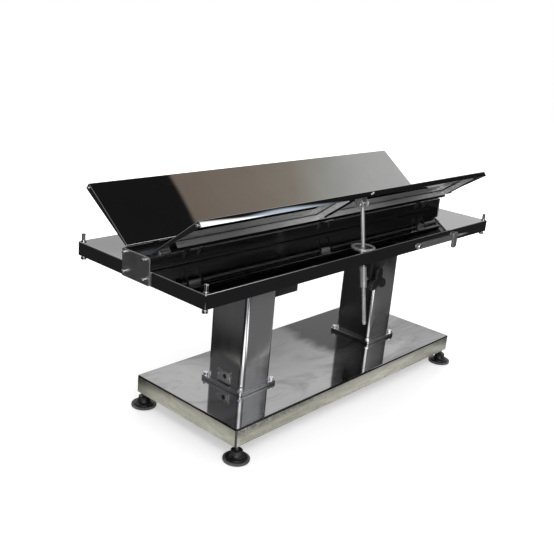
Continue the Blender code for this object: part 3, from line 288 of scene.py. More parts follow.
class Tree:
    """A node tree that is made node by node."""

    FIRST_COLOUR, SECOND_COLOUR, MIXED_COLOUR = 6, 7, 2

    def __init__(self, tree):
        self.tree = tree

    @cached_property
    def place(self):
        return self.add("ShaderNodeTexCoord", out="Object")

    def add(self, kind, inputs=(), out=0, **settings):
        """Adds a node, sets or links its inputs and returns one of its outputs."""
        node = self.tree.nodes.new(kind)
        for name, value in settings.items():
            setattr(node, name, value)
        for socket, value in dict(inputs).items():
            if isinstance(value, bpy.types.NodeSocket):
                self.tree.links.new(value, node.inputs[socket])
            else:
                node.inputs[socket].default_value = value
        return node.outputs[out]

    def parts(self, axes, vector=None):
        """The parts of a vector along the named axes. Without a vector it is the place."""
        vector = self.place if vector is None else vector
        return [self.add("ShaderNodeSeparateXYZ", {"Vector": vector}, axis) for axis in axes]

    def stretched(self, x, y, z):
        """Object coordinates scaled on each axis, so that a pattern runs along the smallest."""
        return self.add("ShaderNodeMapping", {"Vector": self.place, "Scale": (x, y, z)})

    def noise(self, where, scale=1.0, detail=3.0, rough=0.55, warp=0.0):
        inputs = {"Vector": where, "Scale": scale, "Detail": detail, "Roughness": rough, "Distortion": warp}
        return self.add("ShaderNodeTexNoise", inputs, "Fac")

    def spread(self, value, low, high, to_low=0.0, to_high=1.0):
        """Maps a value from one range to another, held at both ends."""
        inputs = {"Value": value, "From Min": low, "From Max": high, "To Min": to_low, "To Max": to_high}
        return self.add("ShaderNodeMapRange", inputs, "Result")

    def fade(self, value, none, full):
        """0 where a value is at none, 1 where it is at full, with a soft step between."""
        inputs = {"Value": value, "From Min": none, "From Max": full}
        return self.add("ShaderNodeMapRange", inputs, "Result", interpolation_type="SMOOTHSTEP")

    def calc(self, how, a, b=0.0):
        return self.add("ShaderNodeMath", {0: a, 1: b}, operation=how)

    def sum(self, a, b):
        return self.calc("ADD", a, b)

    def times(self, a, b):
        return self.calc("MULTIPLY", a, b)

    def away(self, value, centre=0.0):
        """How far a value is from a centre."""
        return self.calc("ABSOLUTE", self.calc("SUBTRACT", value, centre))

    def tint(self, share, first, second, **settings):
        """A colour between two, by a share from 0 to 1. Each is a link or a colour that shade takes."""
        first, second = (c if isinstance(c, bpy.types.NodeSocket) else shade(c) for c in (first, second))
        inputs = {"Factor": share, self.FIRST_COLOUR: first, self.SECOND_COLOUR: second}
        return self.add("ShaderNodeMix", inputs, self.MIXED_COLOUR, data_type="RGBA", **settings)

    def ramp(self, value, stops):
        """A colour that changes with a value, through stops of (value, colour)."""
        low, high = stops[0][0], stops[-1][0]
        colour = self.add("ShaderNodeValToRGB", {"Fac": self.spread(value, low, high)})
        marks = colour.node.color_ramp.elements
        while len(marks) < len(stops):
            marks.new(0.5)
        for mark, (at, stop) in zip(marks, stops):
            mark.position = (at - low) / (high - low)
            mark.color = shade(stop)
        return colour

    def bump(self, height, strength, distance, under=None):
        inputs = {"Height": height, "Strength": strength, "Distance": distance}
        if under is not None:
            inputs["Normal"] = under
        return self.add("ShaderNodeBump", inputs)


class Look(Tree):
    """One material with a Principled shader, on Object coordinates."""

    def __init__(self, name, metallic, **fixed):
        self.made = bpy.data.materials.new(name)
        self.made.use_nodes = True
        super().__init__(self.made.node_tree)
        self.shader = self.tree.nodes["Principled BSDF"]
        for socket, value in dict(fixed, Metallic=metallic).items():
            self.shader.inputs[socket.replace("_", " ")].default_value = value

    def set(self, **links):
        for socket, value in links.items():
            self.tree.links.new(value, self.shader.inputs[socket.replace("_", " ")])
        return self.made


def polished_sheet(name, light, dark, rough, grain, marks_and_painted_light=None):
    """Mirror-polished sheet: faint polishing lines along X, cloudy wipe marks and a few fine scratches.

    A function given for marks changes the colour and roughness where the sheet has marks of its own and where
    shade is painted on it.
    """
    look = Look(name, 1.0)
    lines = look.noise(look.stretched(2, 420, 420), detail=2.0)
    clouds = look.noise(look.place, 5.0, detail=4.0, rough=0.6, warp=0.6)
    wipes = look.noise(look.stretched(3, 11, 11), 1.3, rough=0.6, warp=1.1)
    scratch = look.noise(look.stretched(14, 900, 900), detail=1.0, rough=0.4, warp=0.2)
    colour = look.tint(look.spread(clouds, 0.3, 0.7), dark, light)
    smooth = look.spread(wipes, 0.35, 0.75, rough, rough * 2.2)
    smooth = look.sum(smooth, look.spread(lines, 0.3, 0.7, 0.0, grain))
    smooth = look.sum(smooth, look.spread(scratch, 0.70, 0.76, 0.0, 0.05))
    if marks_and_painted_light:
        colour, smooth = marks_and_painted_light(look, colour, smooth, dark)
    bump = look.bump(lines, 0.02, 0.0002)
    bump = look.bump(look.noise(look.place, 2.2, detail=1.0), 0.012, 0.01, bump)
    return look.set(Base_Color=colour, Roughness=smooth, Normal=bump)


def base_wear_and_painted_light(look, colour, smooth, dark):
    """The base's top: worn spots, painted shade that darkens it towards the rear between the columns, and a
    painted shade patch by the right column.
    """
    rear_shade_x, shade_patch_x, shade_patch_y, half_length, half_width = 0.10, 0.30, 0.12, 0.155, 0.145
    x, y = look.parts("XY")
    worn = look.noise(look.stretched(1.6, 4.2, 4.2), 1.6, detail=6.0, rough=0.62, warp=1.6)
    colour = look.tint(look.spread(worn, 0.46, 0.66, 0.0, 0.75), colour, 0.5 * dark)
    # Painted shade: the top grows darker towards the rear between the columns, under the deck.
    haze_and_shade = look.times(look.spread(look.away(x, rear_shade_x), 0.44, 0.22), look.spread(y, -0.14, 0.12, 0.0, 0.78))
    colour = look.tint(haze_and_shade, colour, 0.45 * dark)
    # Painted shade: a dark patch by the right column, near black and not metallic, its edge broken by the wear
    # noise.
    across = look.calc("DIVIDE", look.away(x, shade_patch_x), half_length)
    deep = look.calc("DIVIDE", look.away(y, shade_patch_y), half_width)
    far = look.sum(look.calc("MAXIMUM", across, deep), look.spread(worn, 0.35, 0.65, -0.14, 0.14))
    shade_patch = look.spread(far, 1.28, 0.84)
    look.set(Metallic=look.spread(shade_patch, 0.8, 1.0, 1.0, 0.0))
    smooth = look.sum(smooth, look.times(shade_patch, 0.12))
    return skirt_streaks_and_painted_light(look, look.tint(shade_patch, colour, SHADE_PATCH_GRAY), smooth)


def skirt_streaks_and_painted_light(look, colour, smooth):
    """The base's sides, duller and streaked, their greenish tint a painted reflection of the floor, and
    painted shade in dark lines where the sheet bends and at the corners.
    """
    x, y, z = look.parts("XYZ")
    ends, sides = (look.spread(look.away(part, middle), length / 2 - 0.0052, length / 2 - 0.0044)
                   for part, middle, length in ((x, BASE_SHIFT, BASE_LENGTH), (y, 0.0, BASE_WIDTH)))
    below = look.spread(z, SKIRT_TOP + 0.0004, SKIRT_TOP - 0.0004)
    streaks = look.noise(look.stretched(12, 12, 70), rough=0.6, warp=0.9)
    patches = look.noise(look.place, 26.0, rough=0.6, warp=1.2)
    share = look.sum(look.spread(streaks, 0.3, 0.7, 0.0, 0.6), look.spread(patches, 0.3, 0.7, 0.0, 0.5))
    # The skirt's streaked grays carry a greenish tint that is a painted reflection of the floor.
    colour = look.tint(below, colour, look.tint(share, *SKIRT_STREAK_AND_REFLECTION_COLOURS))
    # Painted shade: dark lines along the top bend and down the corners.
    bend = look.spread(z, SKIRT_TOP, SKIRT_TOP + 0.0005)
    bend = look.times(bend, look.spread(z, BASE_TOP - 0.0002, BASE_TOP - 0.0006))
    colour = look.tint(look.calc("MAXIMUM", bend, look.times(ends, sides)), colour, BEND_SHADE_GRAY)
    return colour, look.sum(smooth, look.times(below, look.spread(patches, 0.3, 0.7, 0.12, 0.26)))


def brushed(name, light, dark, rough, along, depth, metallic=1.0, marks_and_painted_light=None):
    """Brushed steel: long grain along one axis, blotches of wear and slightly uneven sheen.

    A function given for marks changes the colour where the steel has marks of its own and where shade and a
    highlight are painted on it.
    """
    look = Look(name, metallic)
    fine, broad = [GRAIN] * 3, [GRAIN / 12] * 3
    fine[along], broad[along] = 3, 2
    grain = look.noise(look.stretched(*fine), rough=0.7)
    uneven = look.noise(look.stretched(*broad), detail=2.0)
    blotch = look.noise(look.place, 13.0, detail=5.0, rough=0.65, warp=0.8)
    share = look.sum(look.spread(grain, 0.25, 0.75, 0.0, 0.5), look.spread(blotch, 0.3, 0.7, 0.0, 0.5))
    colour = look.tint(share, dark, light)
    if marks_and_painted_light:
        colour = marks_and_painted_light(look, colour, blotch, metallic)
    smooth = look.spread(grain, 0.2, 0.8, rough * 0.75, rough * 1.3)
    smooth = look.sum(smooth, look.spread(uneven, 0.3, 0.7, -0.03, 0.05))
    return look.set(Base_Color=colour, Roughness=smooth, Normal=look.bump(grain, depth, 0.0002))


def frame_painted_light(look, colour, blotch, metallic):
    """The wing frame's painted light: its bars are painted dark inside as shade, and a painted highlight, pale
    and dull, lies round one rib.
    """
    inside_shade = shaded_bar_insides(look)
    colour = look.tint(inside_shade, colour, INSIDE_SHADE_GRAY)
    x, = look.parts("X")
    # Painted highlight: round one rib the frame turns pale and less metallic, broken by blotches, but not on
    # the shaded insides.
    near = look.spread(look.away(x, RIB_PLACES[0]), 0.34, 0.02)
    near = look.times(near, look.spread(blotch, 0.3, 0.6, 0.55, 1.0))
    near = look.times(near, look.calc("SUBTRACT", 1.0, inside_shade))
    look.set(Metallic=look.spread(near, 0.0, 1.0, metallic, 0.15))
    return look.tint(near, colour, HIGHLIGHT_GRAY)


def shaded_bar_insides(look):
    """1 on the insides of a wing frame's bars, which are painted dark as shade, by the place along the wing
    and beside each rib.
    """
    x, y, z = look.parts("XYZ")
    out, up = look.calc("SUBTRACT", look.away(y), HINGE_OUT), look.calc("SUBTRACT", z, HINGE_Z)
    along = look.sum(look.times(out, math.cos(WING_ANGLE)), look.times(up, math.sin(WING_ANGLE)))
    x = look.times(x, look.times(look.calc("SIGN", y), -1.0))
    reach = BAR_WIDTH / 2 - BAR_WALL / 2
    share = look.calc("LESS_THAN", look.away(along, BAR_OUT), reach)
    on_ribs = look.calc("GREATER_THAN", along, RIB_START + BAR_WALL)
    for rib in RIB_PLACES:
        beside = look.calc("LESS_THAN", look.away(x, rib), reach)
        share = look.calc("MAXIMUM", share, look.times(beside, on_ribs))
    return share


def chrome(name, light, dark, rough, metallic=1.0):
    """Bright chrome with fine handling marks and a soft haze."""
    look = Look(name, metallic)
    haze_and_shade = look.noise(look.place, 26.0, detail=4.0, rough=0.6, warp=0.4)
    marks = look.noise(look.stretched(300, 300, 60), detail=2.0)
    colour = look.tint(look.spread(haze_and_shade, 0.35, 0.65), dark, light)
    smooth = look.spread(haze_and_shade, 0.3, 0.7, rough, rough + 0.08)
    smooth = look.sum(smooth, look.spread(marks, 0.6, 0.75, 0.0, 0.10))
    return look.set(Base_Color=colour, Roughness=smooth, Normal=look.bump(marks, 0.006, 0.0002))


def black_coat(name, light, dark, rough, pebble, depth):
    """Black paint or moulded plastic: pebbled, with dusty patches and rubbed, shinier spots."""
    look = Look(name, 0.0, IOR=1.48)
    skin = look.noise(look.place, pebble, detail=2.0, rough=0.5)
    dust = look.noise(look.place, 24.0, detail=5.0, rough=0.65, warp=0.5)
    rubbed = look.noise(look.stretched(60, 60, 24))
    colour = look.tint(look.spread(dust, 0.45, 0.8), dark, light)
    smooth = look.spread(rubbed, 0.35, 0.7, rough * 0.7, rough * 1.3)
    smooth = look.sum(smooth, look.spread(dust, 0.4, 0.8, 0.0, 0.1))
    return look.set(Base_Color=colour, Roughness=smooth, Normal=look.bump(skin, 0.25, depth))


looks = {
    "tray": polished_sheet("mirror_polished_sheet", (0.47, 0.47, 0.465), 0.42, 0.01, 0.012),
    "base": polished_sheet("polished_base_sheet", (0.52, 0.52, 0.515), 0.45, 0.035, 0.04, base_wear_and_painted_light),
    "plate": brushed("dull_plate", 0.60, 0.34, 0.30, 2, 0.05, 0.78),
    "end": brushed("satin_end_plate", 0.54, 0.44, 0.44, 2, 0.04),
    "column": brushed("brushed_column", (0.45, 0.45, 0.46), (0.41, 0.41, 0.42), 0.13, 2, 0.02),
    "stage": brushed("ground_stage", (0.56, 0.56, 0.57), (0.50, 0.50, 0.51), 0.16, 2, 0.03),
    "frame": brushed("welded_frame", 0.70, 0.54, 0.28, 0, 0.05, 0.76, frame_painted_light),
    "channel": brushed("dark_ground_channel", (0.22, 0.22, 0.225), (0.15, 0.15, 0.155), 0.16, 0, 0.02),
    # Painted shade: the lugs are near black so that they sink into the channel's shade.
    "lug": brushed("shaded_dark_lug", 0.09, 0.05, 0.42, 0, 0.03),
    "lever": brushed("satin_lever", (0.40, 0.40, 0.39), 0.30, 0.38, 0, 0.04, 0.8),
    "chrome": chrome("bright_chrome", (0.82, 0.82, 0.83), (0.70, 0.70, 0.71), 0.04),
    "rod": chrome("ground_chrome", (0.62, 0.62, 0.63), (0.52, 0.52, 0.53), 0.20, 0.65),
    "paint": black_coat("black_paint", (0.03, 0.03, 0.031), (0.012, 0.012, 0.013), 0.32, 420.0, 0.0003),
    "plastic": black_coat("black_plastic", (0.02, 0.02, 0.021), 0.006, 0.30, 900.0, 0.0002),
    "rubber": black_coat("foot_rubber", 0.22, 0.09, 0.42, 700.0, 0.0002),
}
SLOT_LOOKS = {
    "tray_steel": "tray", "base_steel": "base", "column_steel": "column", "frame_steel": "frame",
    "bright_chrome": "chrome", "black_paint": "paint", "black_plastic": "plastic",
}
slot_of = {row["node"]: row["material_slot"] for row in frame["record"]["subparts"]}
body_of = {n: b for b, ns in frame["record"]["behaviour"]["bodies"].items() for n in ns}
for name, node in frame["nodes"].items():
    node.data.materials.clear()
    node.data.materials.append(looks[SLOT_LOOKS[slot_of[name]]])


# Objects

def linked(name, data):
    """A new object in the scene, made of a mesh, a lamp or a camera."""
    obj = bpy.data.objects.new(name, data)
    scene.collection.objects.link(obj)
    return obj


def mesh_object(name, shell):
    mesh = bpy.data.meshes.new(name)
    mesh.from_pydata(shell[0].tolist(), [], shell[1].tolist())
    return linked(name, mesh)


def piece(name, node, shells, look_names, place=Matrix(), cutters=()):
    """Joins shells into one piece at a place. It stands for a node, rides on its body and takes its finish."""
    shells = [placed(shell, place) for shell in shells]
    starts = np.cumsum([0] + [len(points) for points, faces in shells])
    faces = np.concatenate([faces + start for (points, faces), start in zip(shells, starts)])
    obj = mesh_object(name, (np.concatenate([points for points, faces in shells]), faces))
    used = sorted(set(look_names), key=look_names.index)
    for look in used:
        obj.data.materials.append(looks[look])
    if len(used) > 1:
        order = [used.index(look) for look in look_names]
        shares = np.repeat(order, [len(faces) for points, faces in shells])
        obj.data.polygons.foreach_set("material_index", shares.astype(np.int32))
    if cutters:
        obj.data = drilled(obj, cutters)
    obj.data.shade_smooth()
    obj.data.set_sharp_from_angle(angle=SHARP_ANGLE)
    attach(obj, body_of[node])
    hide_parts(node)


def drilled(obj, cutters):
    """The object's mesh with round holes cut through it."""
    helpers = [mesh_object("drill", shell) for shell in cutters]
    for k, helper in enumerate(helpers):
        step = obj.modifiers.new("hole %d" % k, "BOOLEAN")
        step.operation, step.solver, step.object = "DIFFERENCE", "EXACT", helper
    bpy.context.view_layer.update()
    graph = bpy.context.evaluated_depsgraph_get()
    made = bpy.data.meshes.new_from_object(obj.evaluated_get(graph), depsgraph=graph)
    obj.modifiers.clear()
    for helper in helpers:
        bpy.data.objects.remove(helper)
    return made


# Base

def make_base():
    """The base cover: a folded pan with a softly rounded edge."""
    cover = pan(*rectangle(BASE_LENGTH, BASE_WIDTH, 0.006), BASE_DEPTH, 0.004, 0.002)
    piece("polished_base_cover", "base_cover", [cover], ["base"], moved(BASE_SHIFT, 0, BASE_TOP))


def make_feet():
    """Levelling feet: a flat rubber tread, a stepped pad with a flare, a boss and a stem."""
    tread = [(0, 0), (0.0335, 0), (0.036, 0.0012), (0.037, 0.003), (0.037, 0.0071), (0.0362, 0.008),
             (0.0345, 0.0082), (0.0338, 0.0074), (0.031, 0.0074), (0, 0.0074)]
    pad = [(0, 0.007), (0.0306, 0.007), (0.0306, 0.009), (0.03, 0.0098), (0.0286, 0.0102), (0.0283, 0.0116)]
    flare = [(0.028 - 0.0115 * math.cos(a), 0.012 + 0.011 * (1 - math.sin(a)))
             for a in np.linspace(QUARTER, 0, 12)]
    boss = [(0.0163, 0.024), (0.0163, 0.0306), (0.0152, 0.0318), (0.01, 0.032), (0.0062, 0.032),
            (0.006, 0.0324)]
    stem = [(0.006, 0.0856), (0.0056, 0.086), (0, 0.086)]
    shells = lathe(tread, 48), lathe(pad + flare + boss + stem, 48)
    for side, sy in (("front", -1), ("rear", 1)):
        for end, sx in (("left", -1), ("right", 1)):
            corner = "%s_%s" % (side, end)
            place = moved(BASE_SHIFT + sx * FOOT_X, sy * FOOT_Y, 0)
            piece(corner + "_levelling_foot", "foot_" + corner, shells, ["rubber", "plastic"], place)


def make_columns():
    """Column tubes and their sliding stages, with broad rounded corners, on bolted flanges."""
    # Each tube: piece, node, look, inset, corner, steps, wall, low, high
    tubes = [("column_sleeve", "column_tube", "column", 0.0, COLUMN_ROUND, 10, 0.004, 0.1106, 0.4471),
             ("guide_collar", "column_collar", "plastic", 0.0, COLUMN_ROUND, 10, 0.0057, 0.4474, 0.4574),
             ("ground_stage", "lift_tube", "stage", 0.012, 0.0095, 10, 0.0035, 0.1256, 0.4601),
             ("inner_stage", "tilt_tube", "stage", 0.023, 0.005375, 8, 0.0035, 0.1376, 0.4601)]
    hexagon = np.stack([np.cos(np.arange(6) * HALF / 3), np.sin(np.arange(6) * HALF / 3)], -1)
    flat = fillet(0.0083 * hexagon, 0.0012, 2, guard=0.0002)
    head = slab(flat, flat / np.linalg.norm(flat, axis=1)[:, None], 0.111, 0.1182, 0.0009)
    ring = lathe([(0, 0.1098), (0.0085, 0.1098), (0.0085, 0.111), (0, 0.1113)])
    flange_length, flange_width, bolt_x, bolt_y = 0.15, 0.165, 0.0645, 0.072
    flange = [slab(*rectangle(flange_length, flange_width, 0.008), 0.1003, 0.1103, 0.0012)]
    for sx in (-1, 1):
        for sy in (-1, 1):
            flange += [placed(shell, moved(sx * bolt_x, sy * bolt_y, 0)) for shell in (head, ring)]
    for side, x in COLUMN_X.items():
        place = moved(x, 0, 0)
        for name, node, look, inset, corner, steps, wall, low, high in tubes[:4 if side == "left" else 3]:
            outline, normal = rectangle(COLUMN_LENGTH - inset, COLUMN_WIDTH - inset, corner, steps)
            shell = tube(outline, normal, wall, low, high)
            piece("%s_%s" % (side, name), "%s_%s" % (side, node), [shell], [look], place)
        piece(side + "_bolted_flange", side + "_foot_flange", flange, ["stage"] + ["chrome"] * 8, place)


def make_column_boxes():
    """The control box with its lid seam, and the service plate with a raised field, socket and two screws."""
    outline, normal = rectangle(BOX_LENGTH, 0.112, 0.004)
    body = slab(outline, normal, BOX_TOP - BOX_HEIGHT, BOX_TOP - 0.0156, 0.0012)
    seam = slab(outline - 0.0012 * normal, normal, BOX_TOP - 0.016, BOX_TOP - 0.014, 0.0002)
    lid = slab(outline, normal, BOX_TOP - 0.0144, BOX_TOP, 0.0022)
    place = moved(COLUMN_X["left"] + COLUMN_LENGTH / 2 + SEAT + BOX_LENGTH / 2, 0, 0)
    piece("control_housing", "control_box", [body, seam, lid], ["paint", "plastic", "paint"], place)
    plate = slab(*rectangle(0.038, 0.05, 0.003), 0, 0.003, 0.0008)
    field = slab(*rectangle(0.027, 0.039, 0.002), 0.002, 0.0038, 0.0006)
    socket = lathe([(0, 0.004), (0.0042, 0.004), (0.005, 0.0046), (0.0066, 0.0046), (0.0072, 0.004),
                    (0.0072, 0.002), (0, 0.002)])
    head = lathe([(0, 0.0041), (0.0014, 0.004), (0.0021, 0.0034), (0.0022, 0.002), (0, 0.002)], 16)
    shells = [plate, field, placed(socket, moved(-0.002, 0.006, 0))]
    shells += [placed(head, moved(0, y, 0)) for y in (0.0222, -0.0222)]
    place = moved(COLUMN_X["left"] - COLUMN_LENGTH / 2 - SEAT, 0, PLATE_Z) @ turned("Z", HALF) @ ALONG_X
    piece("left_service_plate", "service_plate", shells, ["end", "plate", "plastic"] + ["chrome"] * 2, place)


# Deck

def make_deck():
    """The tray, a folded pan drilled for stay rods, posts and the lever's screw, and the rod holes' rings."""
    rod_hole, post_hole, screw_hole = 0.026, 0.0051, 0.0038
    tray = pan(*rectangle(DECK_LENGTH, DECK_WIDTH, 0.004), DECK_RIM, 0.003, 0.002)
    holes = (rod_hole, STAY_X, RING_OUT), (post_hole, -POST_X, POST_Y), (post_hole, POST_X, POST_Y)
    drills = [(radius, turn @ moved(x, -y, DECK_TOP - 0.002))
              for turn in SIDES.values() for radius, x, y in holes]
    drills.append((screw_hole, moved(LEVER_X, -DECK_WIDTH / 2, LEVER_Z) @ ALONG_Y))
    cutters = [placed(lathe([(0, -0.005), (r, -0.005), (r, 0.005), (0, 0.005)], 48), place)
               for r, place in drills]
    piece("polished_tray", "deck_tray", [tray], ["tray"], moved(0, 0, DECK_TOP), cutters)
    ring = lathe([(0.0266, 0), (0.026, 0.0008), (0.026, 0.0022), (0.0268, 0.003), (0.0338, 0.003),
                  (0.035, 0.0018), (0.035, 0)], 64, hollow=True)
    for side, turn in SIDES.items():
        place = turn @ moved(STAY_X, -RING_OUT, DECK_TOP + SEAT)
        piece(side + "_grommet_ring", side + "_rod_ring", [ring], ["rod"], place)


def make_posts():
    """Tie posts: a domed head with a groove under it, a washer on the tray and a nut below."""
    top, low = DECK_TOP + 0.022, DECK_TOP - 0.0485
    head = [(0, top), (0.003, top - 0.0002), (0.0052, top - 0.001), (0.0062, top - 0.0022),
            (0.0062, top - 0.0034), (0.0056, top - 0.004), (0.0048, top - 0.004)]
    ring = [(0.0048, DECK_TOP + 0.0028), (0.007, DECK_TOP + 0.0028), (0.0075, DECK_TOP + 0.0023),
            (0.0075, DECK_TOP + 0.0003), (0.0048, DECK_TOP + 0.0003)]
    nut = [(0.0048, low + 0.007), (0.007, low + 0.007), (0.0075, low + 0.0062), (0.0075, low + 0.0008),
           (0.007, low), (0, low)]
    shell = lathe(head + ring + nut)
    for side, turn in SIDES.items():
        for x in (-POST_X, POST_X):
            corner = "%s_%s" % (side, "left" if (x < 0) == (side == "front") else "right")
            piece(corner + "_tie_post", corner + "_post", [shell], ["chrome"], turn @ moved(x, -POST_Y, 0))


def make_channel():
    """The channel between the wings: a folded strip with rounded bends, twelve lugs, and the two long pins."""
    half, height, wall = 0.052, 0.033, 0.0025
    path = fillet([(half, height), (half, 0), (-half, 0), (-half, height)], 0.003, 5, looped=False)
    shells = [placed(strip(path, -wall, DECK_LENGTH - 2 * SEAT), turned("Z", QUARTER) @ ALONG_FRONT)]
    pin = (HINGE_OUT, HINGE_Z - DECK_TOP - SEAT)
    foot = half - wall / 2
    ear = np.array([(foot, height - wall), (foot, height / 3), *arc(pin, 0.006, -HALF / 3, 2.443, 16)])
    lug = placed(holed(ear, pin, PIN_BORE, 0.006), turned("Z", -QUARTER) @ ALONG_FRONT)
    for turn in SIDES.values():
        for middle in HINGE_PLACES:
            shells += [placed(lug, turn @ moved(middle + step, 0, 0)) for step in (-0.0235, 0.0235)]
    place = moved(0, 0, DECK_TOP + SEAT)
    piece("hinge_channel", "centre_channel", shells, ["channel"] + ["lug"] * 12, place)
    profile = [(0, 0.638), (0.0048, 0.638), (0.0055, 0.6372), (0.0055, 0.6354), (0.005, 0.635),
               (0.0034, 0.635)]
    pin = lathe(profile + [(r, -z) for r, z in profile[::-1]], 24)
    for side, turn in SIDES.items():
        place = turn @ moved(0, -HINGE_OUT, HINGE_Z) @ ALONG_X
        piece(side + "_long_pin", side + "_hinge_pin", [pin], ["end"], place)


def make_end_plates():
    """End plates with four cap screws each, their heads rounded over."""
    above, below, thick = 0.0335, 0.0375, 0.004
    head = lathe([(0, 0.011), (0.0024, 0.0108), (0.0038, 0.0098), (0.0042, 0.0084), (0.0042, -0.001),
                  (0, -0.001)], 24)
    shells = [slab(*rectangle(above + below, 0.105, 0.003), 0, thick, 0.0009)]
    for y in (-0.038, 0.038):
        shells += [placed(head, moved(down, y, thick)) for down in (-0.0295, 0.0195)]
    lie = moved(DECK_LENGTH / 2 + SEAT, 0, DECK_TOP + (above - below) / 2) @ ALONG_X
    for side, turn in (("left", SIDES["rear"]), ("right", SIDES["front"])):
        piece(side + "_capped_plate", side + "_end_plate", shells, ["end"] + ["chrome"] * 4, turn @ lie)


# Wings

def wing_sheet():
    """A wing's sheet: a pan, deep at its outer edge, shallower at the ends, with a narrow hem by the hinge."""
    width = WING_WIDTH + WING_LIP
    outline, normal = rectangle(WING_LENGTH, width, WING_FOLD + 0.0012, 6)
    share = np.clip(0.5 - outline[:, 1] / width, 0, 1)
    hinge = normal[:, 1] > 0.99
    depth = np.where(hinge, HEM_DEPTH, WING_END_RIM + (WING_RIM - WING_END_RIM) * share)
    fold = np.where(hinge, HEM_FOLD, WING_FOLD)
    outline = outline + [0, (WING_LIP - WING_WIDTH) / 2]
    return pan(outline, normal, depth, fold, WING_SHEET, WING_RISE)


def make_wings():
    """Wings: the polished sheet, its three studs, the two cheeks and the eye pin of the stay."""
    radius, top, apart, stud_out = 0.013, 0.0212, 0.012, 0.174
    cheek = np.concatenate([[(radius, top), (-radius, top)], arc((0, 0), radius, HALF, 2 * HALF, 16)])
    cheek = placed(holed(cheek, (0, 0), 0.0032, 0.003), turned("Z", -QUARTER) @ ALONG_FRONT)
    stud = lathe([(0, 0.0045), (0.0024, 0.0043), (0.0037, 0.0035), (0.004, 0.0023), (0.004, -0.002),
                  (0, -0.002)], 24)
    profile = [(0, 0.0155), (0.0042, 0.0155), (0.005, 0.0149), (0.005, 0.0137), (0.0032, 0.0135)]
    pin = lathe(profile + [(r, -z) for r, z in profile[::-1]], 24)
    eye = moved(STAY_X, -EYE_OUT, -EYE_DOWN)
    shells = [wing_sheet(), placed(cheek, eye @ moved(-apart, 0, 0)), placed(cheek, eye @ moved(apart, 0, 0)),
              placed(pin, eye @ ALONG_X)]
    for x, out, turn in ((-WING_LENGTH / 2, stud_out, turned("Y", -QUARTER)),
                         (WING_LENGTH / 2, stud_out, ALONG_X), (0, WING_WIDTH, ALONG_FRONT)):
        shells.append(placed(stud, moved(x, -out, -0.0002) @ turn))
    for side in SIDES:
        piece(side + "_polished_wing", side + "_wing", shells, ["tray"] + ["rod"] * 2 + ["chrome"] * 4,
              wing_place(side))


def channel_bar(length, depth):
    """A U bar with rounded bends, open downwards, along Z: X is across and its web is at the top."""
    half = BAR_WIDTH / 2
    path = fillet([(-half, -depth), (-half, 0), (half, 0), (half, -depth)], 0.0022, looped=False)
    return strip(path, -BAR_WALL, length)


def make_wing_frames():
    """The welded frame under each wing: a long bar, two ribs, three leaves and three barrels."""
    web = WING_RISE - WING_SHEET - SEAT
    rib = placed(channel_bar(RIB_END - RIB_START, 0.0152), ALONG_FRONT)
    leaf = slab(*rectangle(0.037, 0.0224, 0.001, 2), 0.0012, 0.0054, 0.0006)
    barrel = lathe([(PIN_BORE, -0.02), (0.0054, -0.02), (0.006, -0.0194), (0.006, 0.0194), (0.0054, 0.02),
                    (PIN_BORE, 0.02)], 24, hollow=True)
    shells = [placed(channel_bar(1.24, 0.016), moved(0, -BAR_OUT, web) @ turned("Z", QUARTER) @ ALONG_FRONT)]
    shells += [placed(rib, moved(x, -(RIB_START + RIB_END) / 2, web - 0.0004)) for x in RIB_PLACES]
    for x in HINGE_PLACES:
        shells += [placed(leaf, moved(x, -0.0118, 0)), placed(barrel, moved(x, 0, 0) @ ALONG_X)]
    for side in SIDES:
        piece(side + "_welded_frame", side + "_wing_frame", shells, ["frame"], wing_place(side))


# Stays

def make_stays():
    """Stay rods with a bored ball end, clamp sleeves with their pin, and three-lobed knobs."""
    radius, bore = 0.009, 0.0035
    reach = math.acos(bore / radius)
    mouth = radius * math.sin(reach) - 0.0004
    ball = lathe([*arc((0, 0), radius, -reach, reach, 16), (bore, mouth), (bore, -mouth)], 48, hollow=True)
    rod = lathe([(0, -0.006), (0.0055, -0.006), (0.0055, -0.348), (0.0035, -0.35), (0, -0.35)])
    sleeve = lathe([(0.0058, -0.022), (0.0088, -0.022), (0.0095, -0.0213), (0.0095, 0.0393), (0.0088, 0.04),
                    (0.0058, 0.04)], 40, hollow=True)
    pin = lathe([(0, 0.0076), (0.005, 0.0076), (0.005, 0.0555), (0.0045, 0.056), (0, 0.056)])
    knob = make_knob()
    for side, turn in SIDES.items():
        place = rod_place(side)
        piece(side + "_chromed_stay", side + "_stay_rod", [placed(ball, ALONG_X), rod], ["chrome", "rod"],
              place)
        piece(side + "_chromed_sleeve", side + "_clamp_sleeve", [sleeve, placed(pin, ALONG_X)], ["rod"],
              place @ moved(0, 0, -CLAMP_DOWN))
        piece(side + "_star_knob", side + "_clamp_knob", knob, ["plastic"],
              turn @ moved(KNOB_X, -KNOB_OUT, CLAMP_Z) @ ALONG_FRONT)


def make_knob():
    """Shells of a knob whose radius swells by a cosine three times in a turn, on a hub and its screw."""
    lobes, middle, swell = 3, 0.029, 0.012
    angle = np.arange(96) * HALF / 48
    radius = middle + swell * np.cos(lobes * (angle - QUARTER))
    outline = radius[:, None] * np.stack([np.cos(angle), np.sin(angle)], -1)
    ahead = np.roll(outline, -1, 0) - np.roll(outline, 1, 0)
    normal = np.stack([ahead[:, 1], -ahead[:, 0]], -1)
    normal /= np.linalg.norm(normal, axis=1)[:, None]
    hub = lathe([(0, 0.0073), (0.011, 0.0073), (0.011, 0.0012), (0.0102, SEAT), (0.004, SEAT),
                 (0.004, -0.0042), (0, -0.0042)], 40)
    return [slab(outline, normal, 0.0053, 0.0163, 0.0034, 6), hub]


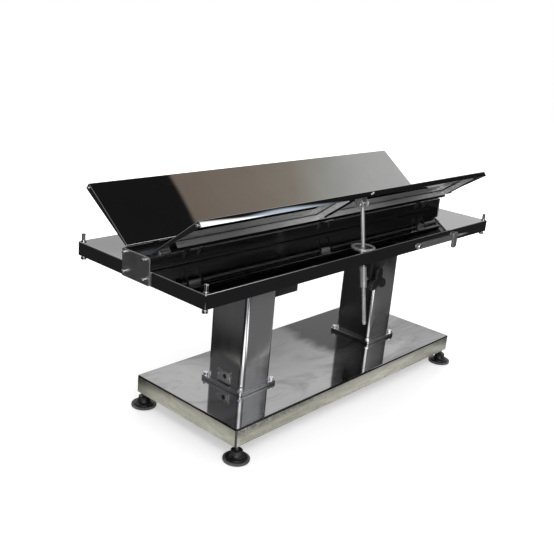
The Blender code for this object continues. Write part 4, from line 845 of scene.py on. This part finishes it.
def make_lever():
    """The side lever: a flat bar with rounded ends on a domed screw, and its paddle grip."""
    half = LEVER_THICK / 2
    ends = [arc((x, 0), LEVER_ROUND, first, first + HALF, 16)
            for x, first in ((0, QUARTER), (LEVER_REACH, -QUARTER))]
    normal = np.concatenate([ends[0], ends[1] - [LEVER_REACH, 0]]) / LEVER_ROUND
    bar = slab(np.concatenate(ends), normal, -half, half, 0.0006, middle=(LEVER_REACH / 2, 0))
    grip = slab(*rectangle(0.025, 0.052, 0.0085, 8), -0.004, 0.004, 0.0022, 5)
    screw = lathe([(0, 0.00575), (0.0035, 0.0056), (0.0062, 0.0048), (0.0075, 0.0034), (0.0075, 0),
                   (0.0035, 0), (0.0035, -0.009), (0, -0.009)])
    shells = [bar, placed(grip, moved(LEVER_REACH, -0.009, 0.00175)), screw]
    place = moved(LEVER_X, -DECK_WIDTH / 2 - SEAT - half, LEVER_Z) @ ALONG_FRONT
    piece("side_tilt_lever", "side_lever", shells, ["lever", "lever", "chrome"], place)


make_base()
make_feet()
make_columns()
make_column_boxes()
make_deck()
make_posts()
make_channel()
make_end_plates()
make_wings()
make_wing_frames()
make_stays()
make_lever()


# Studio: metal sees a dark tent with windows of light and soft lights on the floor, and the rest sees white

TENT_RADIUS = 30
# Each window, in degrees: (azimuth, half, soft), (elevation, half, soft), slope, colours by elevation
TENT_LIGHTS = (
    ((31, 38, 2), (20.6, 30.6, 0.2), 0.24,
     ((14, 0.72), (15.2, 0.70), (16.4, 0.55), (18.2, 0.55), (19.8, 0.74), (33, 0.82),
      (37.5, (0.72, 0.72, 0.71)), (40, (0.56, 0.56, 0.52)), (42.5, (0.42, 0.37, 0.31)),
      (46, (0.35, 0.295, 0.24)), (50, (0.31, 0.25, 0.20)))),
    ((-50.5, 13.5, 2), (44, 9, 2), 0, ((30, (1.5, 1.7, 2)), (36, 2.4))),
    ((-39, 10, 2.5), (36, 4.8, 2.2), 0, ((28, (0.50, 0.60, 0.72)), (36, (1, 1.15, 1.35)))),
    ((-135, 26, 7), (12, 24, 8), 0, ((0, 2.4), (30, 3))),
    ((132, 14, 8), (26, 18, 8), 0, ((10, 0.13), (45, (0.34, 0.34, 0.35)))),
    ((-47, 9, 3), (26.5, 4.5, 2), 0, ((20, 0.85), (30, 0.85))),
    ((-33, 5, 2), (22, 5, 2), 0, ((20, 0.32), (30, 0.32))),
    ((92, 26, 6), (32, 34, 8), 0, ((0, 0.34), (60, 0.62))),
    ((-90, 22, 5), (34, 32, 8), 0, ((0, 0.30), (60, 0.62))),
    ((174, 7, 2), (19, 16, 6), 0, ((0, 0.30), (60, 0.42))),
    ((-174, 7, 2), (19, 16, 6), 0, ((0, 0.30), (60, 0.42))),
    ((0, 400, 1), (90, 19, 5), 0, ((66, 0.38), (90, 0.62))),
)
# Each ellipse on the floor: its middle, half lengths, turn in degrees and colour
FLOOR_GLOWS = (
    (-0.55, -0.72, 0.78, 0.42, 0, 0.30),
    (-0.66, -0.48, 0.36, 0.27, 47, 2.6),
    (-0.22, -0.78, 0.38, 0.22, 56, 2.6),
    (0.35, -0.58, 0.62, 0.50, 0, 0.24),
    (2.44, -1.12, 0.26, 0.10, 0, 0.38),
    (1.05, -0.62, 0.42, 0.50, 0, 0.16),
    (-1.30, -1.20, 0.95, 0.60, 40, (0.45, 0.45, 0.46)),
    (-0.02, -0.30, 1.05, 0.09, 0, (0.56, 0.56, 0.51)),
    (-0.58, 0.03, 0.14, 0.38, 0, (0.66, 0.66, 0.60)),
    (-1.10, 0.60, 0.45, 0.60, 0, 0.11),
    (0.50, 0.32, 0.75, 0.10, 0, (0.20, 0.20, 0.18)),
    (0.70, 0.00, 0.12, 0.42, 0, (0.50, 0.50, 0.46)),
    (0.95, 1.20, 1.00, 0.65, 0, 0.34),
    (1.75, 0.20, 0.55, 1.10, 0, 0.40),
)
# Each lamp: place, size and power. Both look at the same point
LAMPS = {"key_lamp": ((-1.8, -2.4, 3.0), 1.6, 42.0), "fill_lamp": ((2.2, 1.6, 2.8), 1.8, 22.0)}
LAMPS_AIM = (0, 0, 0.35)
ROOM_LIGHT = 0.72
CAMERA_PLACE = (-1.791, -1.4382, 1.1274)
CAMERA_ANGLES = (-49.1037, 18.4338, 5.1065)
CAMERA_LENS, CAMERA_SENSOR = 51.16, 36.0


def emission(name, build):
    """A stage material that only gives off light, in the colours that build makes."""
    made = bpy.data.materials.new(name)
    made.use_nodes = True
    made.node_tree.nodes.clear()
    tree = Tree(made.node_tree)
    shader = tree.add("ShaderNodeEmission", {"Color": build(tree), "Strength": 1.0})
    tree.tree.links.new(shader, tree.tree.nodes.new("ShaderNodeOutputMaterial").inputs["Surface"])
    return made


def lit(tree, total, share, colour):
    """The total with a share of a colour added."""
    return tree.tint(1.0, total, tree.tint(share, 0.0, colour), blend_type="ADD")


def tent_colour(tree):
    """Windows of light on a dark tent, set by azimuth and elevation in degrees."""
    towards = tree.add("ShaderNodeVectorMath", {0: tree.place}, operation="NORMALIZE")
    x, y, z = tree.parts("XYZ", towards)
    azimuth = tree.calc("DEGREES", tree.calc("ARCTAN2", y, x))
    elevation = tree.calc("DEGREES", tree.calc("ARCSINE", z))
    total = tree.tint(0.0, (0.018, 0.018, 0.019), 0.0)
    for across, height, slope, stops in TENT_LIGHTS:
        level = tree.calc("SUBTRACT", elevation, tree.times(azimuth, slope))
        share = tree.times(*(tree.fade(tree.away(value, centre), half + soft, half - soft)
                             for value, (centre, half, soft) in ((azimuth, across), (level, height))))
        total = lit(tree, total, share, tree.ramp(elevation, stops))
    return total


def glow_colour(tree):
    """Light on the floor as metal sees it: soft ellipses on a dark ground."""
    total = tree.tint(0.0, (0.028, 0.028, 0.029), 0.0)
    for x, y, along, across, turn, colour in FLOOR_GLOWS:
        inputs = {"Vector": tree.place, "Location": (x, y, 0), "Rotation": (0, 0, math.radians(turn)),
                  "Scale": (along, across, 1)}
        here = tree.add("ShaderNodeMapping", inputs, vector_type="TEXTURE")
        far = tree.add("ShaderNodeVectorMath", {0: here}, "Value", operation="LENGTH")
        total = lit(tree, total, tree.fade(far, 1.0, 0.45), colour)
    return total


def stage_object(name, shell, material):
    obj = mesh_object(name, shell)
    obj.data.materials.append(material)
    return obj


def flat_sheet(half, z):
    corners = np.array([(-half, -half, z), (half, -half, z), (half, half, z), (-half, half, z)])
    return corners, np.array([(0, 1, 2, 3)])


def only_glossy(obj):
    """Shows a stage object in reflections alone."""
    for ray in ("camera", "diffuse", "transmission", "volume_scatter", "shadow"):
        setattr(obj, "visible_" + ray, False)


def white_floor():
    """A pale floor that keeps its shadows and is seen as white: camera rays alone find it lifted."""
    look = Look("white_floor", 0.0, Roughness=0.9, Base_Color=shade(0.86), Emission_Color=shade(1.0))
    seen = look.add("ShaderNodeLightPath", out="Is Camera Ray")
    far = look.add("ShaderNodeVectorMath", {0: look.place}, "Value", operation="LENGTH")
    return look.set(Emission_Strength=look.times(seen, look.spread(far, 0.9, 2.2, 0.42, 1.0)))


def make_studio():
    """White floor and world, a dark tent and floor glow that only metal sees, two soft lamps."""
    stage_object("floor", flat_sheet(9.0, 0.0), white_floor()).visible_glossy = False
    only_glossy(stage_object("floor_glow", flat_sheet(8.0, -0.0005), emission("floor_glow", glow_colour)))
    angle = np.linspace(0, HALF, 33)
    tent = lathe(TENT_RADIUS * np.stack([np.sin(angle), np.cos(angle)], -1), 64)
    only_glossy(stage_object("dark_tent", tent, emission("dark_tent", tent_colour)))
    world = bpy.data.worlds.new("pale_room")
    scene.world = world
    world.use_nodes = True
    room = Tree(world.node_tree)
    seen = room.add("ShaderNodeLightPath", out="Is Camera Ray")
    for ray in ("Is Glossy Ray", "Is Transmission Ray"):
        seen = room.calc("MAXIMUM", seen, room.add("ShaderNodeLightPath", out=ray))
    back = room.tree.nodes["Background"]
    back.inputs["Color"].default_value = shade(1.0)
    room.tree.links.new(room.spread(seen, 0.0, 1.0, ROOM_LIGHT, 1.0), back.inputs["Strength"])
    for name, (place, size, power) in LAMPS.items():
        data = bpy.data.lights.new(name, "AREA")
        data.size, data.energy = size, power
        lamp = linked(name, data)
        lamp.visible_glossy = False
        lamp.location = place
        lamp.rotation_euler = (Vector(LAMPS_AIM) - Vector(place)).to_track_quat("-Z", "Y").to_euler()


def make_camera():
    """The photograph's camera: in front of the left end, a little above the table, slightly rolled."""
    azimuth, elevation, roll = (math.radians(angle) for angle in CAMERA_ANGLES)
    level = math.cos(elevation)
    back = Vector((math.sin(azimuth) * level, -math.cos(azimuth) * level, math.sin(elevation)))
    right = Vector((0, 0, 1)).cross(back).normalized()
    up = back.cross(right)
    tilt = math.cos(roll) * right + math.sin(roll) * up, math.cos(roll) * up - math.sin(roll) * right
    data = bpy.data.cameras.new("camera")
    data.sensor_width, data.lens = CAMERA_SENSOR, CAMERA_LENS
    camera = linked("camera", data)
    camera.matrix_world = moved(*CAMERA_PLACE) @ Matrix((*tilt, back)).transposed().to_4x4()
    scene.camera = camera


make_studio()
make_camera()
scene.view_settings.view_transform = "Standard"
